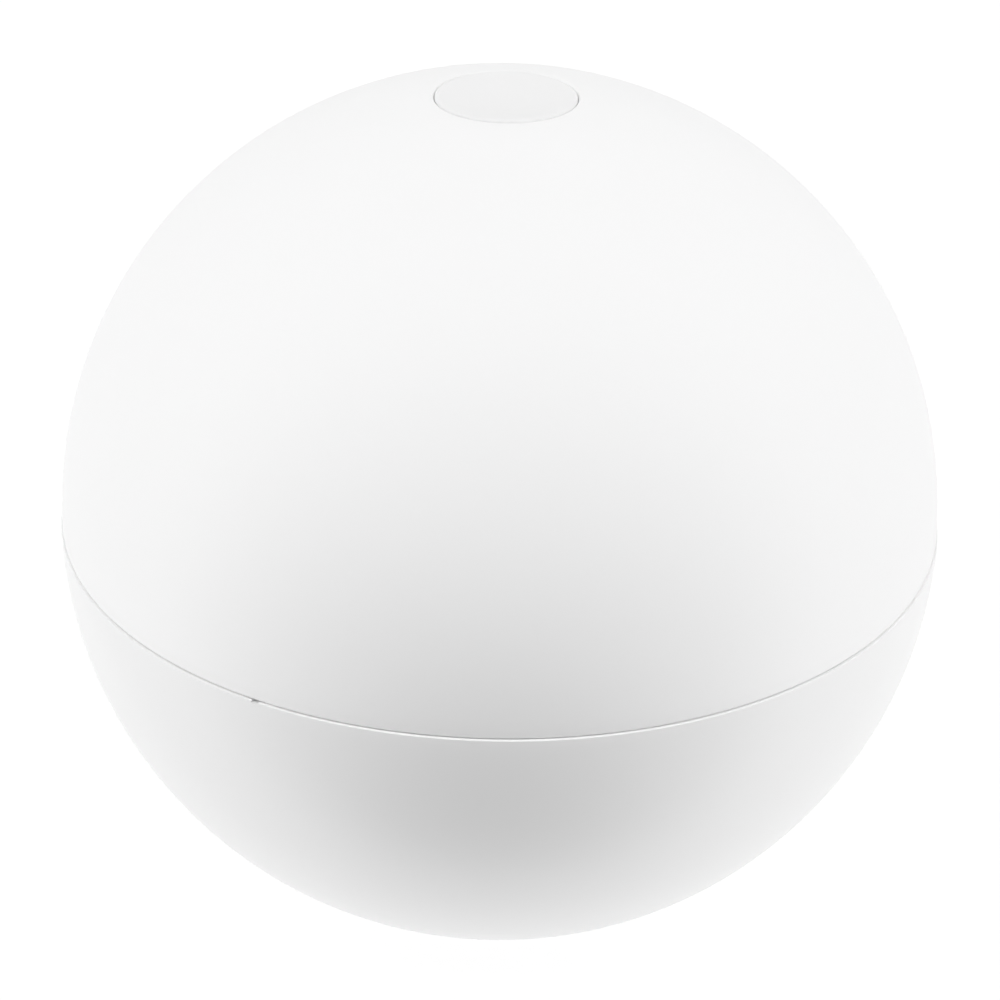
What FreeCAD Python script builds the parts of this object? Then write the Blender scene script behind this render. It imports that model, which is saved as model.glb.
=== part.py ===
import FreeCAD, Part
import math
import os
import re
import Sketcher

# Garden globe light: a white lower shell that holds two rechargeable cells, and an opal dome
# that twists off, with a push button in its top. Millimetres, +Z up. The origin is on the
# ground, under the middle of the globe, and the front looks along -Y.

vector = FreeCAD.Vector
doc = FreeCAD.newDocument("garden_globe_light")

# ---------------------------------------------------------------- driving sizes

SIZES = {
    # globe
    "globe_radius": 100,
    "globe_wall": 2.6,
    "foot_stand": 1.8,
    "seam_gap": 0.25,
    "dome_step": 0.4,
    "rim_wall": 3.1,
    "rim_round": 0.4,
    "underside_round": 5,
    "dome_edge_round": 0.9,
    "running_gap": 0.3,
    "seat_gap": 0.1,
    "notch_width": 1.5,
    "notch_depth": 0.6,
    "notch_reach": 1.2,
    "notch_angle": 29.5,
    # feet and underside
    "floor_margin": 4.2,
    "foot_count": 4,
    "foot_radius": 8,
    "foot_margin": 4.3,
    "foot_recess": 0.8,
    # lamp deck and bayonet
    "shelf_depth": 9,
    "shelf_width": 2.7,
    "gasket_thickness": 0.8,
    "deck_thickness": 2,
    "deck_flat_width": 13.3,
    "platform_margin": 2,
    "platform_rise": 4.2,
    "collar_wall": 3.6,
    "collar_height": 7.2,
    "neck_wall": 1.6,
    "neck_height": 9,
    "tongue_wall": 1.4,
    "tongue_seat_gap": 0.2,
    "groove_rise": 2,
    "groove_height": 2.4,
    "groove_depth": 1.6,
    "lug_count": 4,
    "lug_angle": 18,
    "lug_height": 3,
    "stop_angle": 3,
    "stop_gap_angle": 0.5,
    "twist_angle": 24,
    "deck_screw_count": 6,
    "deck_screw_room": 2,
    # screws
    "screw_radius": 1.5,
    "screw_length": 10,
    "screw_head_radius": 2.8,
    "screw_head_height": 2,
    "small_screw_radius": 1.2,
    "small_screw_length": 6,
    "small_screw_head_radius": 2.2,
    "small_screw_head_height": 1.5,
    "screw_fit": 0.05,
    "boss_wall": 2.4,
    # led board
    "board_thickness": 1.6,
    "led_board_radius": 32,
    "led_board_hole": 15.5,
    "led_count": 8,
    "led_inset": 9,
    "led_side": 5,
    "led_height": 1.6,
    "led_screw_count": 3,
    "led_screw_inset": 3.2,
    "led_screw_turn": 22.5,
    "lead_hole_radius": 2.2,
    # switch post
    "column_radius": 7.5,
    "column_wall": 2,
    "column_flange_gap": 0.5,
    "column_flange_thickness": 2.5,
    "column_screw_count": 3,
    "holder_floor": 2.4,
    "holder_wall": 1.4,
    "holder_lip": 1.2,
    "switch_board_radius": 8,
    "switch_side": 7,
    "switch_height": 5.5,
    "plunger_radius": 1.75,
    "plunger_length": 7.2,
    # button in the top of the dome
    "cap_bore_radius": 15.5,
    "cap_gap": 0.35,
    "cap_proud": 0.2,
    "cap_edge_round": 0.7,
    "cap_crest": 1.3,
    "cap_slope": 1.5,
    "cap_dish_depth": 0.5,
    "cap_plate": 2,
    "cap_skirt_wall": 1.4,
    "cap_pin_radius": 2.5,
    "press_travel": 1.5,
    "mouth_round": 0.5,
    "well_depth": 11.4,
    "well_wall": 2.5,
    "well_floor": 2,
    "well_hole_radius": 5.5,
    "hook_count": 3,
    "hook_angle": 30,
    "hook_side_angle": 2,
    "hook_reach": 1.15,
    "hook_height": 1.8,
    "boot_thickness": 1,
    "boot_rise": 5.4,
    "boot_wall": 1.1,
    "boot_tip_radius": 2.8,
    "boot_tip_thickness": 2,
    "boot_bell_radius": 7.5,
    "retainer_thickness": 1.6,
    "retainer_width": 5,
    # battery
    "cell_radius": 9.2,
    "cell_length": 65.2,
    "cell_button_radius": 3.2,
    "cell_button_height": 1,
    "battery_gap": 0.7,
    "holder_base": 2,
    "holder_side": 1.6,
    "holder_rise": 12,
    "tab_thickness": 0.5,
    "tab_width": 8,
    "clamp_thickness": 1.6,
    "clamp_width": 12,
    "clamp_foot": 9,
    "clamp_boss_height": 10,
    # control board
    "board_length": 60,
    "board_width": 34,
    "board_offset": 24,
    "board_hole_inset": 4,
    "plug_inset": 4,
    "battery_plug_inset": 11,
    "coil_inset": 9,
    "capacitor_inset": 8,
    "capacitor_pitch": 7,
    "driver_chip_inset": 18,
    "charge_chip_inset": 17,
    # charging port
    "socket_length": 8.94,
    "socket_width": 3.26,
    "socket_height": 7,
    "socket_wall": 0.32,
    "socket_depth": 5.8,
    "socket_lip": 1,
    "socket_gap": 0.7,
    "tongue_plate": 0.7,
    "slot_length": 12.4,
    "slot_width": 6.4,
    "port_pad_border": 3,
    "port_gasket_thickness": 1.6,
    "port_gasket_border": 1.8,
    "door_length": 23.4,
    "door_width": 11.4,
    "door_thickness": 2,
    "door_gap": 0.2,
    "spigot_height": 1.3,
    "hinge_pin_radius": 0.5,
    "hinge_pin_length": 1.2,
    "nail_radius": 4,
    "nail_depth": 1.2,
    # leads
    "lead_radius": 1.2,
    "lead_rise": 16,
    "battery_lead_radius": 0.8,
    "battery_lead_rise": 11,
    "battery_lead_step": 3,
    "battery_lead_pitch": 2.4,
    "plug_height": 6,
}

# Sizes that follow from the driving ones, as formulas.
DERIVED = {
    # globe
    "holder_corner": "sqrt((holder_length / 2)^2 + (battery_offset + holder_width / 2)^2)",
    "flat_radius": "holder_corner + floor_margin",
    "base_flat_depth": "sqrt(globe_radius^2 - flat_radius^2)",
    "centre": "base_flat_depth + foot_stand",
    "inner_radius": "globe_radius - globe_wall",
    "floor_top": "foot_stand + globe_wall",
    "floor_radius": "sqrt(inner_radius^2 - (centre - floor_top)^2)",
    "rim_bore": "globe_radius - rim_wall",
    "dome_radius": "globe_radius - dome_step",
    "dome_inner": "dome_radius - globe_wall",
    "dome_bottom": "centre + seam_gap",
    # places where the small roundings touch the globe
    "under_ring": "sqrt((globe_radius - underside_round)^2 - under_drop^2)",
    "under_drop": "base_flat_depth - underside_round",
    "under_reach": "globe_radius / (globe_radius - underside_round)",
    "rim_ring": "sqrt((globe_radius - rim_round)^2 - rim_round^2)",
    "rim_reach": "globe_radius / (globe_radius - rim_round)",
    "edge_ring": "sqrt((dome_radius - dome_edge_round)^2 - edge_lift^2)",
    "edge_lift": "seam_gap + dome_edge_round",
    "edge_reach": "dome_radius / (dome_radius - dome_edge_round)",
    "mouth_ring": "cap_bore_radius + mouth_round",
    "mouth_lift": "sqrt((dome_radius - mouth_round)^2 - mouth_ring^2)",
    "mouth_reach": "dome_radius / (dome_radius - mouth_round)",
    "foot_circle": "under_ring - foot_radius - foot_margin",
    # deck
    "shelf_top": "centre - shelf_depth",
    "shelf_inner": "rim_bore - shelf_width",
    "shelf_foot": "centre - sqrt(inner_radius^2 - shelf_inner^2)",
    "deck_bottom": "shelf_top + gasket_thickness",
    "deck_top": "deck_bottom + deck_thickness",
    "deck_radius": "rim_bore - running_gap",
    "deck_flat_radius": "collar_inner - deck_flat_width",
    "deck_screw_circle": "collar_inner - screw_head_radius - deck_screw_room",
    "platform_radius": "led_board_radius + platform_margin",
    "platform_top": "deck_top + platform_rise",
    "platform_bottom": "platform_top - deck_thickness",
    "tongue_outer": "rim_bore - running_gap",
    "tongue_inner": "tongue_outer - tongue_wall",
    "tongue_bottom": "deck_top + tongue_seat_gap",
    "tongue_top": "centre + sqrt(dome_inner^2 - tongue_inner^2)",
    "collar_outer": "tongue_inner - running_gap",
    "collar_inner": "collar_outer - collar_wall",
    "collar_top": "deck_top + collar_height",
    "neck_outer": "collar_inner + neck_wall",
    "neck_top": "collar_top + neck_height",
    "groove_bottom": "deck_top + groove_rise",
    "groove_top": "groove_bottom + groove_height",
    "groove_radius": "collar_outer - groove_depth",
    "lug_bottom": "neck_top - lug_height",
    "dome_lug_top": "lug_bottom - running_gap",
    "dome_lug_bottom": "dome_lug_top - lug_height",
    "stop_turn": "(lug_angle + stop_angle) / 2 + stop_gap_angle",
    "screw_hole": "screw_radius + screw_fit",
    "small_screw_hole": "small_screw_radius + screw_fit",
    "boss_radius": "screw_hole + boss_wall",
    "small_boss_radius": "small_screw_hole + boss_wall",
    "small_boss_bottom": "platform_bottom - small_screw_length + deck_thickness",
    # boards and post
    "led_board_top": "platform_top + board_thickness",
    "led_circle": "led_board_radius - led_inset",
    "led_screw_circle": "led_board_radius - led_screw_inset",
    "column_flange_radius": "led_board_hole - column_flange_gap",
    "column_flange_top": "platform_top + column_flange_thickness",
    "column_screw_circle": "(column_radius + column_flange_radius) / 2",
    "lead_hole_place": "(led_board_hole + led_circle - led_side / 2) / 2",
    "column_bore": "column_radius - column_wall",
    "column_top": "holder_bottom",
    "holder_bottom": "switch_board_bottom - holder_floor",
    "holder_radius": "switch_board_radius + seat_gap + holder_wall",
    "holder_top": "switch_board_top + holder_lip",
    "switch_board_bottom": "switch_board_top - board_thickness",
    "switch_board_top": "switch_top - switch_height",
    "switch_top": "well_bottom - running_gap",
    "plunger_top": "boot_underside - running_gap",
    "plunger_bottom": "plunger_top - plunger_length",
    "plunger_bore": "plunger_radius + seat_gap",
    "plunger_bore_end": "plunger_bottom - press_travel - seat_gap",
    # button
    "mouth": "centre + sqrt(dome_radius^2 - cap_bore_radius^2)",
    "well_top": "mouth - well_depth",
    "well_bottom": "well_top - well_floor",
    "well_radius": "cap_bore_radius + well_wall",
    "well_joint": "centre + sqrt(dome_inner^2 - well_radius^2)",
    "cap_radius": "cap_bore_radius - cap_gap",
    "cap_top": "mouth + cap_proud",
    "cap_floor": "cap_top - cap_dish_depth",
    "cap_underside": "cap_floor - cap_plate",
    "dish_outer": "cap_radius - cap_crest",
    "dish_inner": "dish_outer - cap_slope",
    "skirt_inner": "cap_radius - cap_skirt_wall",
    "skirt_bottom": "retainer_top + press_travel + running_gap",
    "hook_radius": "cap_radius + hook_reach",
    "hook_top": "skirt_bottom + hook_height",
    "pocket_radius": "hook_radius + running_gap",
    "pocket_bottom": "skirt_bottom - press_travel - running_gap",
    "pocket_top": "hook_top + seat_gap",
    "boot_flange_top": "well_top + boot_thickness",
    "boot_top": "well_top + boot_rise",
    "boot_underside": "boot_top - boot_tip_thickness",
    "boot_radius": "cap_bore_radius - seat_gap",
    "retainer_inner": "boot_radius - retainer_width",
    "retainer_top": "boot_flange_top + retainer_thickness",
    "pin_bottom": "boot_top + running_gap",
    # battery
    "battery_offset": "board_width / 2 - board_offset + battery_gap + clamp_foot + clamp_inner",
    "cell_axis": "floor_top + holder_base + seat_gap + cell_radius",
    "cell_spacing": "2 * (cell_radius + seat_gap)",
    "holder_width": "2 * cell_spacing + 2 * holder_side",
    "holder_room": "cell_length + cell_button_height + 2 * tab_thickness",
    "holder_length": "holder_room + 2 * holder_side",
    "clamp_under": "cell_axis + cell_radius + seat_gap",
    "clamp_inner": "holder_width / 2 + seat_gap",
    "clamp_screw_place": "clamp_inner + clamp_thickness + (clamp_foot - clamp_thickness) / 2",
    "clamp_foot_top": "floor_top + clamp_boss_height + clamp_thickness",
    # control board
    "spigot_top": "foot_stand + door_thickness + spigot_height",
    "socket_bottom": "spigot_top + socket_gap",
    "board_bottom": "socket_bottom + socket_height",
    "board_top": "board_bottom + board_thickness",
    "board_hole_x": "board_length / 2 - board_hole_inset",
    "board_hole_y": "board_width / 2 - board_hole_inset",
    "board_boss_radius": "small_screw_hole + boss_wall / 2",
    "plug_top": "board_top + plug_height",
    # port
    "recess_top": "foot_stand + door_thickness + door_gap",
    "recess_length": "door_length + 2 * running_gap",
    "recess_width": "door_width + 2 * running_gap",
    "port_pad_top": "recess_top + globe_wall",
    "spigot_length": "slot_length - 2 * door_gap",
    "spigot_width": "slot_width - 2 * door_gap",
    "hinge_place": "door_length / 2 - door_thickness / 2",
    "hinge_height": "foot_stand + door_thickness / 2",
    "hinge_hole": "hinge_pin_radius + seat_gap",
}

sheet = doc.addObject("Spreadsheet::Sheet", "Sizes")
for row, (alias, size) in enumerate(SIZES.items(), start=1):
    sheet.set("A%d" % row, alias.replace("_", " "))
    sheet.set("B%d" % row, str(size))
    sheet.setAlias("B%d" % row, alias)
doc.recompute()

# ---------------------------------------------------------------- formulas and sketches

WORD = re.compile(r"[a-z][a-z_]*")
FUNCTIONS = ("sqrt", "sin", "cos", "abs")


def cells(formula):
    """Write a formula of size names as an expression on the sheet's cells."""
    def swap(match):
        word = match.group(0)
        if word in DERIVED:
            return "(" + cells(DERIVED[word]) + ")"
        if word in SIZES:
            return "Sizes." + word
        if word in FUNCTIONS:
            return word
        raise ValueError("no size is named " + word)
    return WORD.sub(swap, str(formula))


def value(formula):
    """The number that a formula of size names comes to."""
    return float(sheet.evalExpression(cells(formula)))


def count(name):
    return int(round(value(name)))


def origin_feature(body, role):
    return next(item for item in body.Origin.OriginFeatures if item.Role == role)


def new_body(label):
    body = doc.addObject("PartDesign::Body", label)
    body.Label = label
    return body


def sketch_on(body, role, lift="0", turn=None):
    """A sketch on an origin plane, lifted along its normal or turned about its own Y axis."""
    sketch = body.newObject("Sketcher::SketchObject", body.Name + "_outline")
    sketch.AttachmentSupport = [(origin_feature(body, role), "")]
    sketch.MapMode = "FlatFace"
    if turn is not None:
        axis = vector(0, 1, 0) if role == "XZ_Plane" else vector(0, 0, 1)
        turned = FreeCAD.Rotation(axis, value(turn))
        sketch.AttachmentOffset = FreeCAD.Placement(vector(0, 0, 0), turned)
        sketch.setExpression("AttachmentOffset.Rotation.Angle", cells(turn))
    if lift != "0":
        sketch.setExpression("AttachmentOffset.Base.z", cells(lift))
    return sketch


def fix_point(sketch, edge, end, place):
    """Hold one end, or the centre, of an edge at a place given by two formulas."""
    axes = (("DistanceX", place[0], -2), ("DistanceY", place[1], -1))
    for kind, formula, axis in axes:
        size = value(formula)
        if abs(size) < 1e-9:
            sketch.addConstraint(Sketcher.Constraint("PointOnObject", edge, end, axis))
        else:
            index = sketch.addConstraint(Sketcher.Constraint(kind, -1, 1, edge, end, size))
            sketch.setExpression("Constraints[%d]" % index, cells(formula))


def draw_outline(sketch, corners):
    """Draw a closed outline. A corner is (u, v), or (u, v, radius) where an arc leads from it
    to the next one: a plain radius turns left, and one with a minus sign turns right."""
    places = [vector(value(corner[0]), value(corner[1]), 0) for corner in corners]
    first = sketch.GeometryCount
    ends = []
    for index, corner in enumerate(corners):
        start = places[index]
        stop = places[(index + 1) % len(places)]
        if len(corner) == 2:
            sketch.addGeometry(Part.LineSegment(start, stop))
            ends.append((1, 2))
            continue
        left = not corner[2].startswith("-")
        radius = value(corner[2].lstrip("-"))
        chord = stop - start
        height = math.sqrt(max(radius ** 2 - chord.Length ** 2 / 4, 0))
        side = vector(-chord.y, chord.x, 0).normalize() * (height if left else -height)
        middle = (start + stop) * 0.5 + side
        begin, finish = (start, stop) if left else (stop, start)
        angles = [math.atan2(point.y - middle.y, point.x - middle.x) for point in (begin, finish)]
        circle = Part.Circle(middle, vector(0, 0, 1), radius)
        sketch.addGeometry(Part.ArcOfCircle(circle, angles[0], angles[1]))
        ends.append((1, 2) if left else (2, 1))
    for index, corner in enumerate(corners):
        edge = first + index
        after = (index + 1) % len(corners)
        joint = (edge, ends[index][1], first + after, ends[after][0])
        sketch.addConstraint(Sketcher.Constraint("Coincident", *joint))
        fix_point(sketch, edge, ends[index][0], corner)
        if len(corner) == 3:
            formula = corner[2].lstrip("-")
            size = value(formula)
            radius_rule = sketch.addConstraint(Sketcher.Constraint("Radius", edge, size))
            sketch.setExpression("Constraints[%d]" % radius_rule, cells(formula))


def draw_circle(sketch, place, radius):
    middle = vector(value(place[0]), value(place[1]), 0)
    edge = sketch.addGeometry(Part.Circle(middle, vector(0, 0, 1), value(radius)))
    fix_point(sketch, edge, 3, place)
    index = sketch.addConstraint(Sketcher.Constraint("Radius", edge, value(radius)))
    sketch.setExpression("Constraints[%d]" % index, cells(radius))


def draw_box(sketch, place, length, width):
    """A rectangle about a place."""
    left, right = ("(%s) %s (%s) / 2" % (place[0], sign, length) for sign in "-+")
    low, high = ("(%s) %s (%s) / 2" % (place[1], sign, width) for sign in "-+")
    draw_outline(sketch, [(left, low), (right, low), (right, high), (left, high)])


def draw_slot(sketch, length, width):
    """A slot with round ends, about the sketch's origin and along its X."""
    straight = "(%s - %s) / 2" % (length, width)
    radius = "(%s) / 2" % width
    draw_outline(sketch, [
        ("-(%s)" % straight, "-(%s)" % radius),
        (straight, "-(%s)" % radius, radius),
        ("(%s) / 2" % length, "0", radius),
        (straight, radius),
        ("-(%s)" % straight, radius, radius),
        ("-(%s) / 2" % length, "0", radius),
    ])


# ---------------------------------------------------------------- features

def feature(body, kind, sketch, name):
    made = body.newObject("PartDesign::" + kind, body.Name + "_" + name)
    made.Profile = sketch
    body.Tip = made
    return made


def revolve(body, sketch, name, angle="360", kind="Revolution"):
    made = feature(body, kind, sketch, name)
    made.ReferenceAxis = (sketch, ["V_Axis"])
    made.Midplane = angle != "360"
    made.setExpression("Angle", cells(angle))
    doc.recompute()
    return made


def extrude(body, sketch, name, length, down=False, middle=False, kind="Pad"):
    made = feature(body, kind, sketch, name)
    made.Midplane = middle
    made.Reversed = down
    made.setExpression("Length", cells(length))
    doc.recompute()
    return made


def repeat(body, features, name, number):
    made = body.newObject("PartDesign::PolarPattern", body.Name + "_" + name)
    made.Originals = features
    made.Axis = (origin_feature(body, "Z_Axis"), [""])
    made.Angle = 360
    made.setExpression("Occurrences", cells(number))
    body.Tip = made
    doc.recompute()
    return made


def turned(label, corners):
    """A body turned about the globe's axis."""
    body = new_body(label)
    sketch = sketch_on(body, "XZ_Plane")
    draw_outline(sketch, corners)
    revolve(body, sketch, "turn")
    return body


def spots(body, places, radius, lift):
    """A level sketch of equal circles."""
    sketch = sketch_on(body, "XY_Plane", lift)
    for place in places:
        draw_circle(sketch, place, radius)
    return sketch


def on_circle(circle, number, start="0"):
    """Places spread evenly on a circle round the globe's axis."""
    places = []
    for index in range(count(number)):
        angle = "(%s + %d * 360 / %s)" % (start, index, number)
        places.append(("%s * cos(%s)" % (circle, angle), "%s * sin(%s)" % (circle, angle)))
    return places


def screws(label, places, seat, small):
    """A set of pan-head screws whose heads rest on the seat."""
    kind = "small_screw" if small else "screw"
    body = new_body(label)
    heads = spots(body, places, kind + "_head_radius", seat)
    extrude(body, heads, "heads", kind + "_head_height")
    shanks = spots(body, places, kind + "_radius", seat)
    extrude(body, shanks, "shanks", kind + "_length", down=True)
    return body


def tangent_arc(start, corner, finish):
    """The arc from start to finish whose end tangents meet at the corner."""
    middle = (start + finish) * 0.5
    half = (finish - start).Length / 2
    slope = math.acos(half / (corner - start).Length)
    crown = middle + (corner - middle) * (math.tan(slope / 2) / math.tan(slope))
    return Part.Arc(start, crown, finish)


def lead(points, radius):
    """One round lead through points of three formulas each: runs joined by tangent arcs."""
    places = [vector(*(value(part) for part in point)) for point in points]
    edges = []
    bends = []
    last = places[0]
    for before, corner, after in zip(places, places[1:], places[2:]):
        back = before - corner
        onward = after - corner
        cut = 0.45 * min(back.Length, onward.Length)
        bends.append(cut / math.tan((math.pi - back.getAngle(onward)) / 2))
        start = corner + back.normalize() * cut
        finish = corner + onward.normalize() * cut
        edges.append(Part.LineSegment(last, start).toShape())
        edges.append(tangent_arc(start, corner, finish).toShape())
        last = finish
    edges.append(Part.LineSegment(last, places[-1]).toShape())
    path = Part.Wire(edges)
    section = Part.Wire(Part.Circle(places[0], places[1] - places[0], radius).toShape())
    shape = path.makePipeShell([section], True, False)
    expected = math.pi * radius ** 2 * path.Length
    if abs(shape.Volume - expected) > 0.01 * expected:
        raise RuntimeError("a lead's volume is not its section times its length")
    print("lead: %.0f mm long, tightest bend %.1f mm" % (path.Length, min(bends)))
    return shape


def leads(label, routes, radius):
    made = doc.addObject("Part::Feature", label)
    made.Label = label
    shapes = [lead(points, value(radius)) for points in routes]
    made.Shape = shapes[0] if len(shapes) == 1 else Part.makeCompound(shapes)
    made.Placement = FreeCAD.Placement()
    return made


# ---------------------------------------------------------------- lower shell and feet

def base_shell():
    body = turned("base_shell", [
        ("0", "foot_stand"),
        ("under_ring", "foot_stand", "underside_round"),
        ("under_ring * under_reach", "centre - under_drop * under_reach", "globe_radius"),
        ("rim_ring * rim_reach", "centre - rim_round * rim_reach", "rim_round"),
        ("rim_ring", "centre"),
        ("rim_bore", "centre"),
        ("rim_bore", "shelf_top"),
        ("shelf_inner", "shelf_top"),
        ("shelf_inner", "shelf_foot", "-inner_radius"),
        ("floor_radius", "floor_top"),
        ("0", "floor_top"),
    ])

    # the small notch at the seam, where a fingernail or a flat blade starts the dome
    notch = sketch_on(body, "XY_Plane", "centre", "-90 - notch_angle")
    draw_box(notch, ("globe_radius", "0"), "2 * notch_reach", "notch_width")
    extrude(body, notch, "notch", "notch_depth", kind="Pocket")

    # hollow bosses for the deck's screws, down to the wall of the globe
    boss = sketch_on(body, "XY_Plane", "deck_bottom")
    draw_circle(boss, ("deck_screw_circle", "0"), "boss_radius")
    draw_circle(boss, ("deck_screw_circle", "0"), "screw_hole")
    post = feature(body, "Pad", boss, "deck_boss")
    post.Reversed = True
    post.Type = "UpToFirst"
    doc.recompute()
    repeat(body, [post], "deck_bosses", "deck_screw_count")

    # hollow bosses for the control board and the battery clamp
    board_posts = sketch_on(body, "XY_Plane", "floor_top")
    for place in board_hole_places():
        draw_circle(board_posts, place, "board_boss_radius")
        draw_circle(board_posts, place, "small_screw_hole")
    extrude(body, board_posts, "board_bosses", "board_bottom - floor_top")
    clamp_posts = sketch_on(body, "XY_Plane", "floor_top")
    for place in clamp_screw_places():
        draw_circle(clamp_posts, place, "small_boss_radius")
        draw_circle(clamp_posts, place, "small_screw_hole")
    extrude(body, clamp_posts, "clamp_bosses", "clamp_boss_height")

    # recesses for the feet
    recesses = spots(body, foot_places(), "foot_radius + seat_gap", "foot_stand")
    extrude(body, recesses, "foot_recesses", "foot_recess", down=True, kind="Pocket")

    # charging port: a raised pad inside, a recess for the door and a slot for the plug
    pad = sketch_on(body, "XY_Plane", "floor_top")
    border = " + 2 * port_pad_border"
    draw_box(pad, port_place(), "recess_length" + border, "recess_width" + border)
    extrude(body, pad, "port_pad", "port_pad_top - floor_top")
    recess = sketch_on(body, "XY_Plane", "foot_stand")
    draw_box(recess, port_place(), "recess_length", "recess_width")
    extrude(body, recess, "door_recess", "recess_top - foot_stand", down=True, kind="Pocket")
    slot = sketch_on(body, "XY_Plane", "recess_top")
    draw_box(slot, port_place(), "slot_length", "slot_width")
    extrude(body, slot, "port_slot", "globe_wall", down=True, kind="Pocket")
    pins = sketch_on(body, "XZ_Plane", "board_offset")
    draw_circle(pins, ("-hinge_place", "hinge_height"), "hinge_hole")
    across = "recess_width + 2 * hinge_pin_length + 2 * seat_gap"
    extrude(body, pins, "hinge_holes", across, middle=True, kind="Pocket")

    # the shallow round at the door's free end, for a fingernail
    nail = spots(body, [("recess_length / 2", "-board_offset")], "nail_radius", "foot_stand")
    extrude(body, nail, "nail_relief", "nail_depth", down=True, kind="Pocket")
    return body


def foot_places():
    return on_circle("foot_circle", "foot_count", "45")


def port_place():
    return ("0", "-board_offset")


def rubber_feet():
    body = new_body("rubber_feet")
    pads = spots(body, foot_places(), "foot_radius", "0")
    extrude(body, pads, "pads", "foot_stand + foot_recess")
    return body


# ---------------------------------------------------------------- lamp deck, seals and dome

def deck_gasket():
    return turned("deck_gasket", [
        ("shelf_inner", "shelf_top"),
        ("deck_radius", "shelf_top"),
        ("deck_radius", "deck_bottom"),
        ("shelf_inner", "deck_bottom"),
    ])


def lamp_deck():
    body = turned("lamp_deck", [
        ("column_bore", "platform_bottom"),
        ("platform_radius", "platform_bottom"),
        ("deck_flat_radius", "deck_bottom"),
        ("deck_radius", "deck_bottom"),
        ("deck_radius", "deck_top"),
        ("collar_outer", "deck_top"),
        ("collar_outer", "groove_bottom"),
        ("groove_radius", "groove_bottom"),
        ("groove_radius", "groove_top"),
        ("collar_outer", "groove_top"),
        ("collar_outer", "collar_top"),
        ("neck_outer", "collar_top"),
        ("neck_outer", "neck_top"),
        ("collar_inner", "neck_top"),
        ("collar_inner", "deck_top"),
        ("deck_flat_radius", "deck_top"),
        ("platform_radius", "platform_top"),
        ("column_bore", "platform_top"),
    ])

    # lugs that hold the dome down, with a stop at each end of the dome's twist
    lug_sketch = sketch_on(body, "XZ_Plane")
    draw_outline(lug_sketch, [
        ("neck_outer", "lug_bottom"),
        ("collar_outer", "lug_bottom"),
        ("collar_outer", "neck_top"),
        ("neck_outer", "neck_top"),
    ])
    lug = revolve(body, lug_sketch, "lug", "lug_angle")
    repeat(body, [lug], "lugs", "lug_count")
    for name, turn in (("near_stop", "-stop_turn"), ("far_stop", "twist_angle + stop_turn")):
        stop_sketch = sketch_on(body, "XZ_Plane", turn=turn)
        draw_outline(stop_sketch, [
            ("neck_outer", "collar_top"),
            ("collar_outer", "collar_top"),
            ("collar_outer", "neck_top"),
            ("neck_outer", "neck_top"),
        ])
        stop = revolve(body, stop_sketch, name, "stop_angle")
        repeat(body, [stop], name + "s", "lug_count")

    # bosses under the platform, then every screw hole and the hole for the board's lead
    posts = column_screw_places() + led_screw_places()
    bosses = spots(body, posts, "small_boss_radius", "platform_bottom")
    extrude(body, bosses, "bosses", "platform_bottom - small_boss_bottom", down=True)
    small_holes = spots(body, posts, "small_screw_hole", "platform_top")
    extrude(body, small_holes, "small_holes", "platform_top - small_boss_bottom", kind="Pocket")
    holes = spots(body, deck_screw_places(), "screw_hole", "deck_top")
    extrude(body, holes, "screw_holes", "deck_thickness", kind="Pocket")
    lead_hole = spots(body, [("0", "-lead_hole_place")], "lead_hole_radius", "platform_top")
    extrude(body, lead_hole, "lead_hole", "deck_thickness", kind="Pocket")
    return body


def deck_screw_places():
    return on_circle("deck_screw_circle", "deck_screw_count")


def column_screw_places():
    return on_circle("column_screw_circle", "column_screw_count", "90")


def led_screw_places():
    return on_circle("led_screw_circle", "led_screw_count", "led_screw_turn")


def rim_seal():
    """A square-section ring that fills the groove and stands a little proud of the collar."""
    face = "tongue_inner - seat_gap"
    return turned("rim_seal", [
        ("groove_radius", "groove_bottom + seat_gap"),
        (face, "groove_bottom + seat_gap"),
        (face, "groove_top - seat_gap"),
        ("groove_radius", "groove_top - seat_gap"),
    ])


def diffuser_dome():
    body = turned("diffuser_dome", [
        ("edge_ring", "dome_bottom", "dome_edge_round"),
        ("edge_ring * edge_reach", "centre + edge_lift * edge_reach", "dome_radius"),
        ("mouth_ring * mouth_reach", "centre + mouth_lift * mouth_reach", "mouth_round"),
        ("cap_bore_radius", "centre + mouth_lift"),
        ("cap_bore_radius", "well_top"),
        ("well_hole_radius", "well_top"),
        ("well_hole_radius", "well_bottom"),
        ("well_radius", "well_bottom"),
        ("well_radius", "well_joint", "-dome_inner"),
        ("tongue_inner", "tongue_top"),
        ("tongue_inner", "tongue_bottom"),
        ("tongue_outer", "tongue_bottom"),
        ("tongue_outer", "dome_bottom"),
    ])
    lug_sketch = sketch_on(body, "XZ_Plane")
    draw_outline(lug_sketch, [
        ("neck_outer + running_gap", "dome_lug_bottom"),
        ("tongue_inner", "dome_lug_bottom"),
        ("tongue_inner", "dome_lug_top"),
        ("neck_outer + running_gap", "dome_lug_top"),
    ])
    lug = revolve(body, lug_sketch, "lug", "lug_angle")
    repeat(body, [lug], "lugs", "lug_count")

    # blind pockets that the button's hooks snap into
    pocket_sketch = sketch_on(body, "XZ_Plane")
    draw_outline(pocket_sketch, [
        ("cap_radius", "pocket_bottom"),
        ("pocket_radius", "pocket_bottom"),
        ("pocket_radius", "pocket_top"),
        ("cap_radius", "pocket_top"),
    ])
    pocket_angle = "hook_angle + 2 * hook_side_angle"
    pocket = revolve(body, pocket_sketch, "hook_pocket", pocket_angle, kind="Groove")
    repeat(body, [pocket], "hook_pockets", "hook_count")
    return body


# ---------------------------------------------------------------- button

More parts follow.
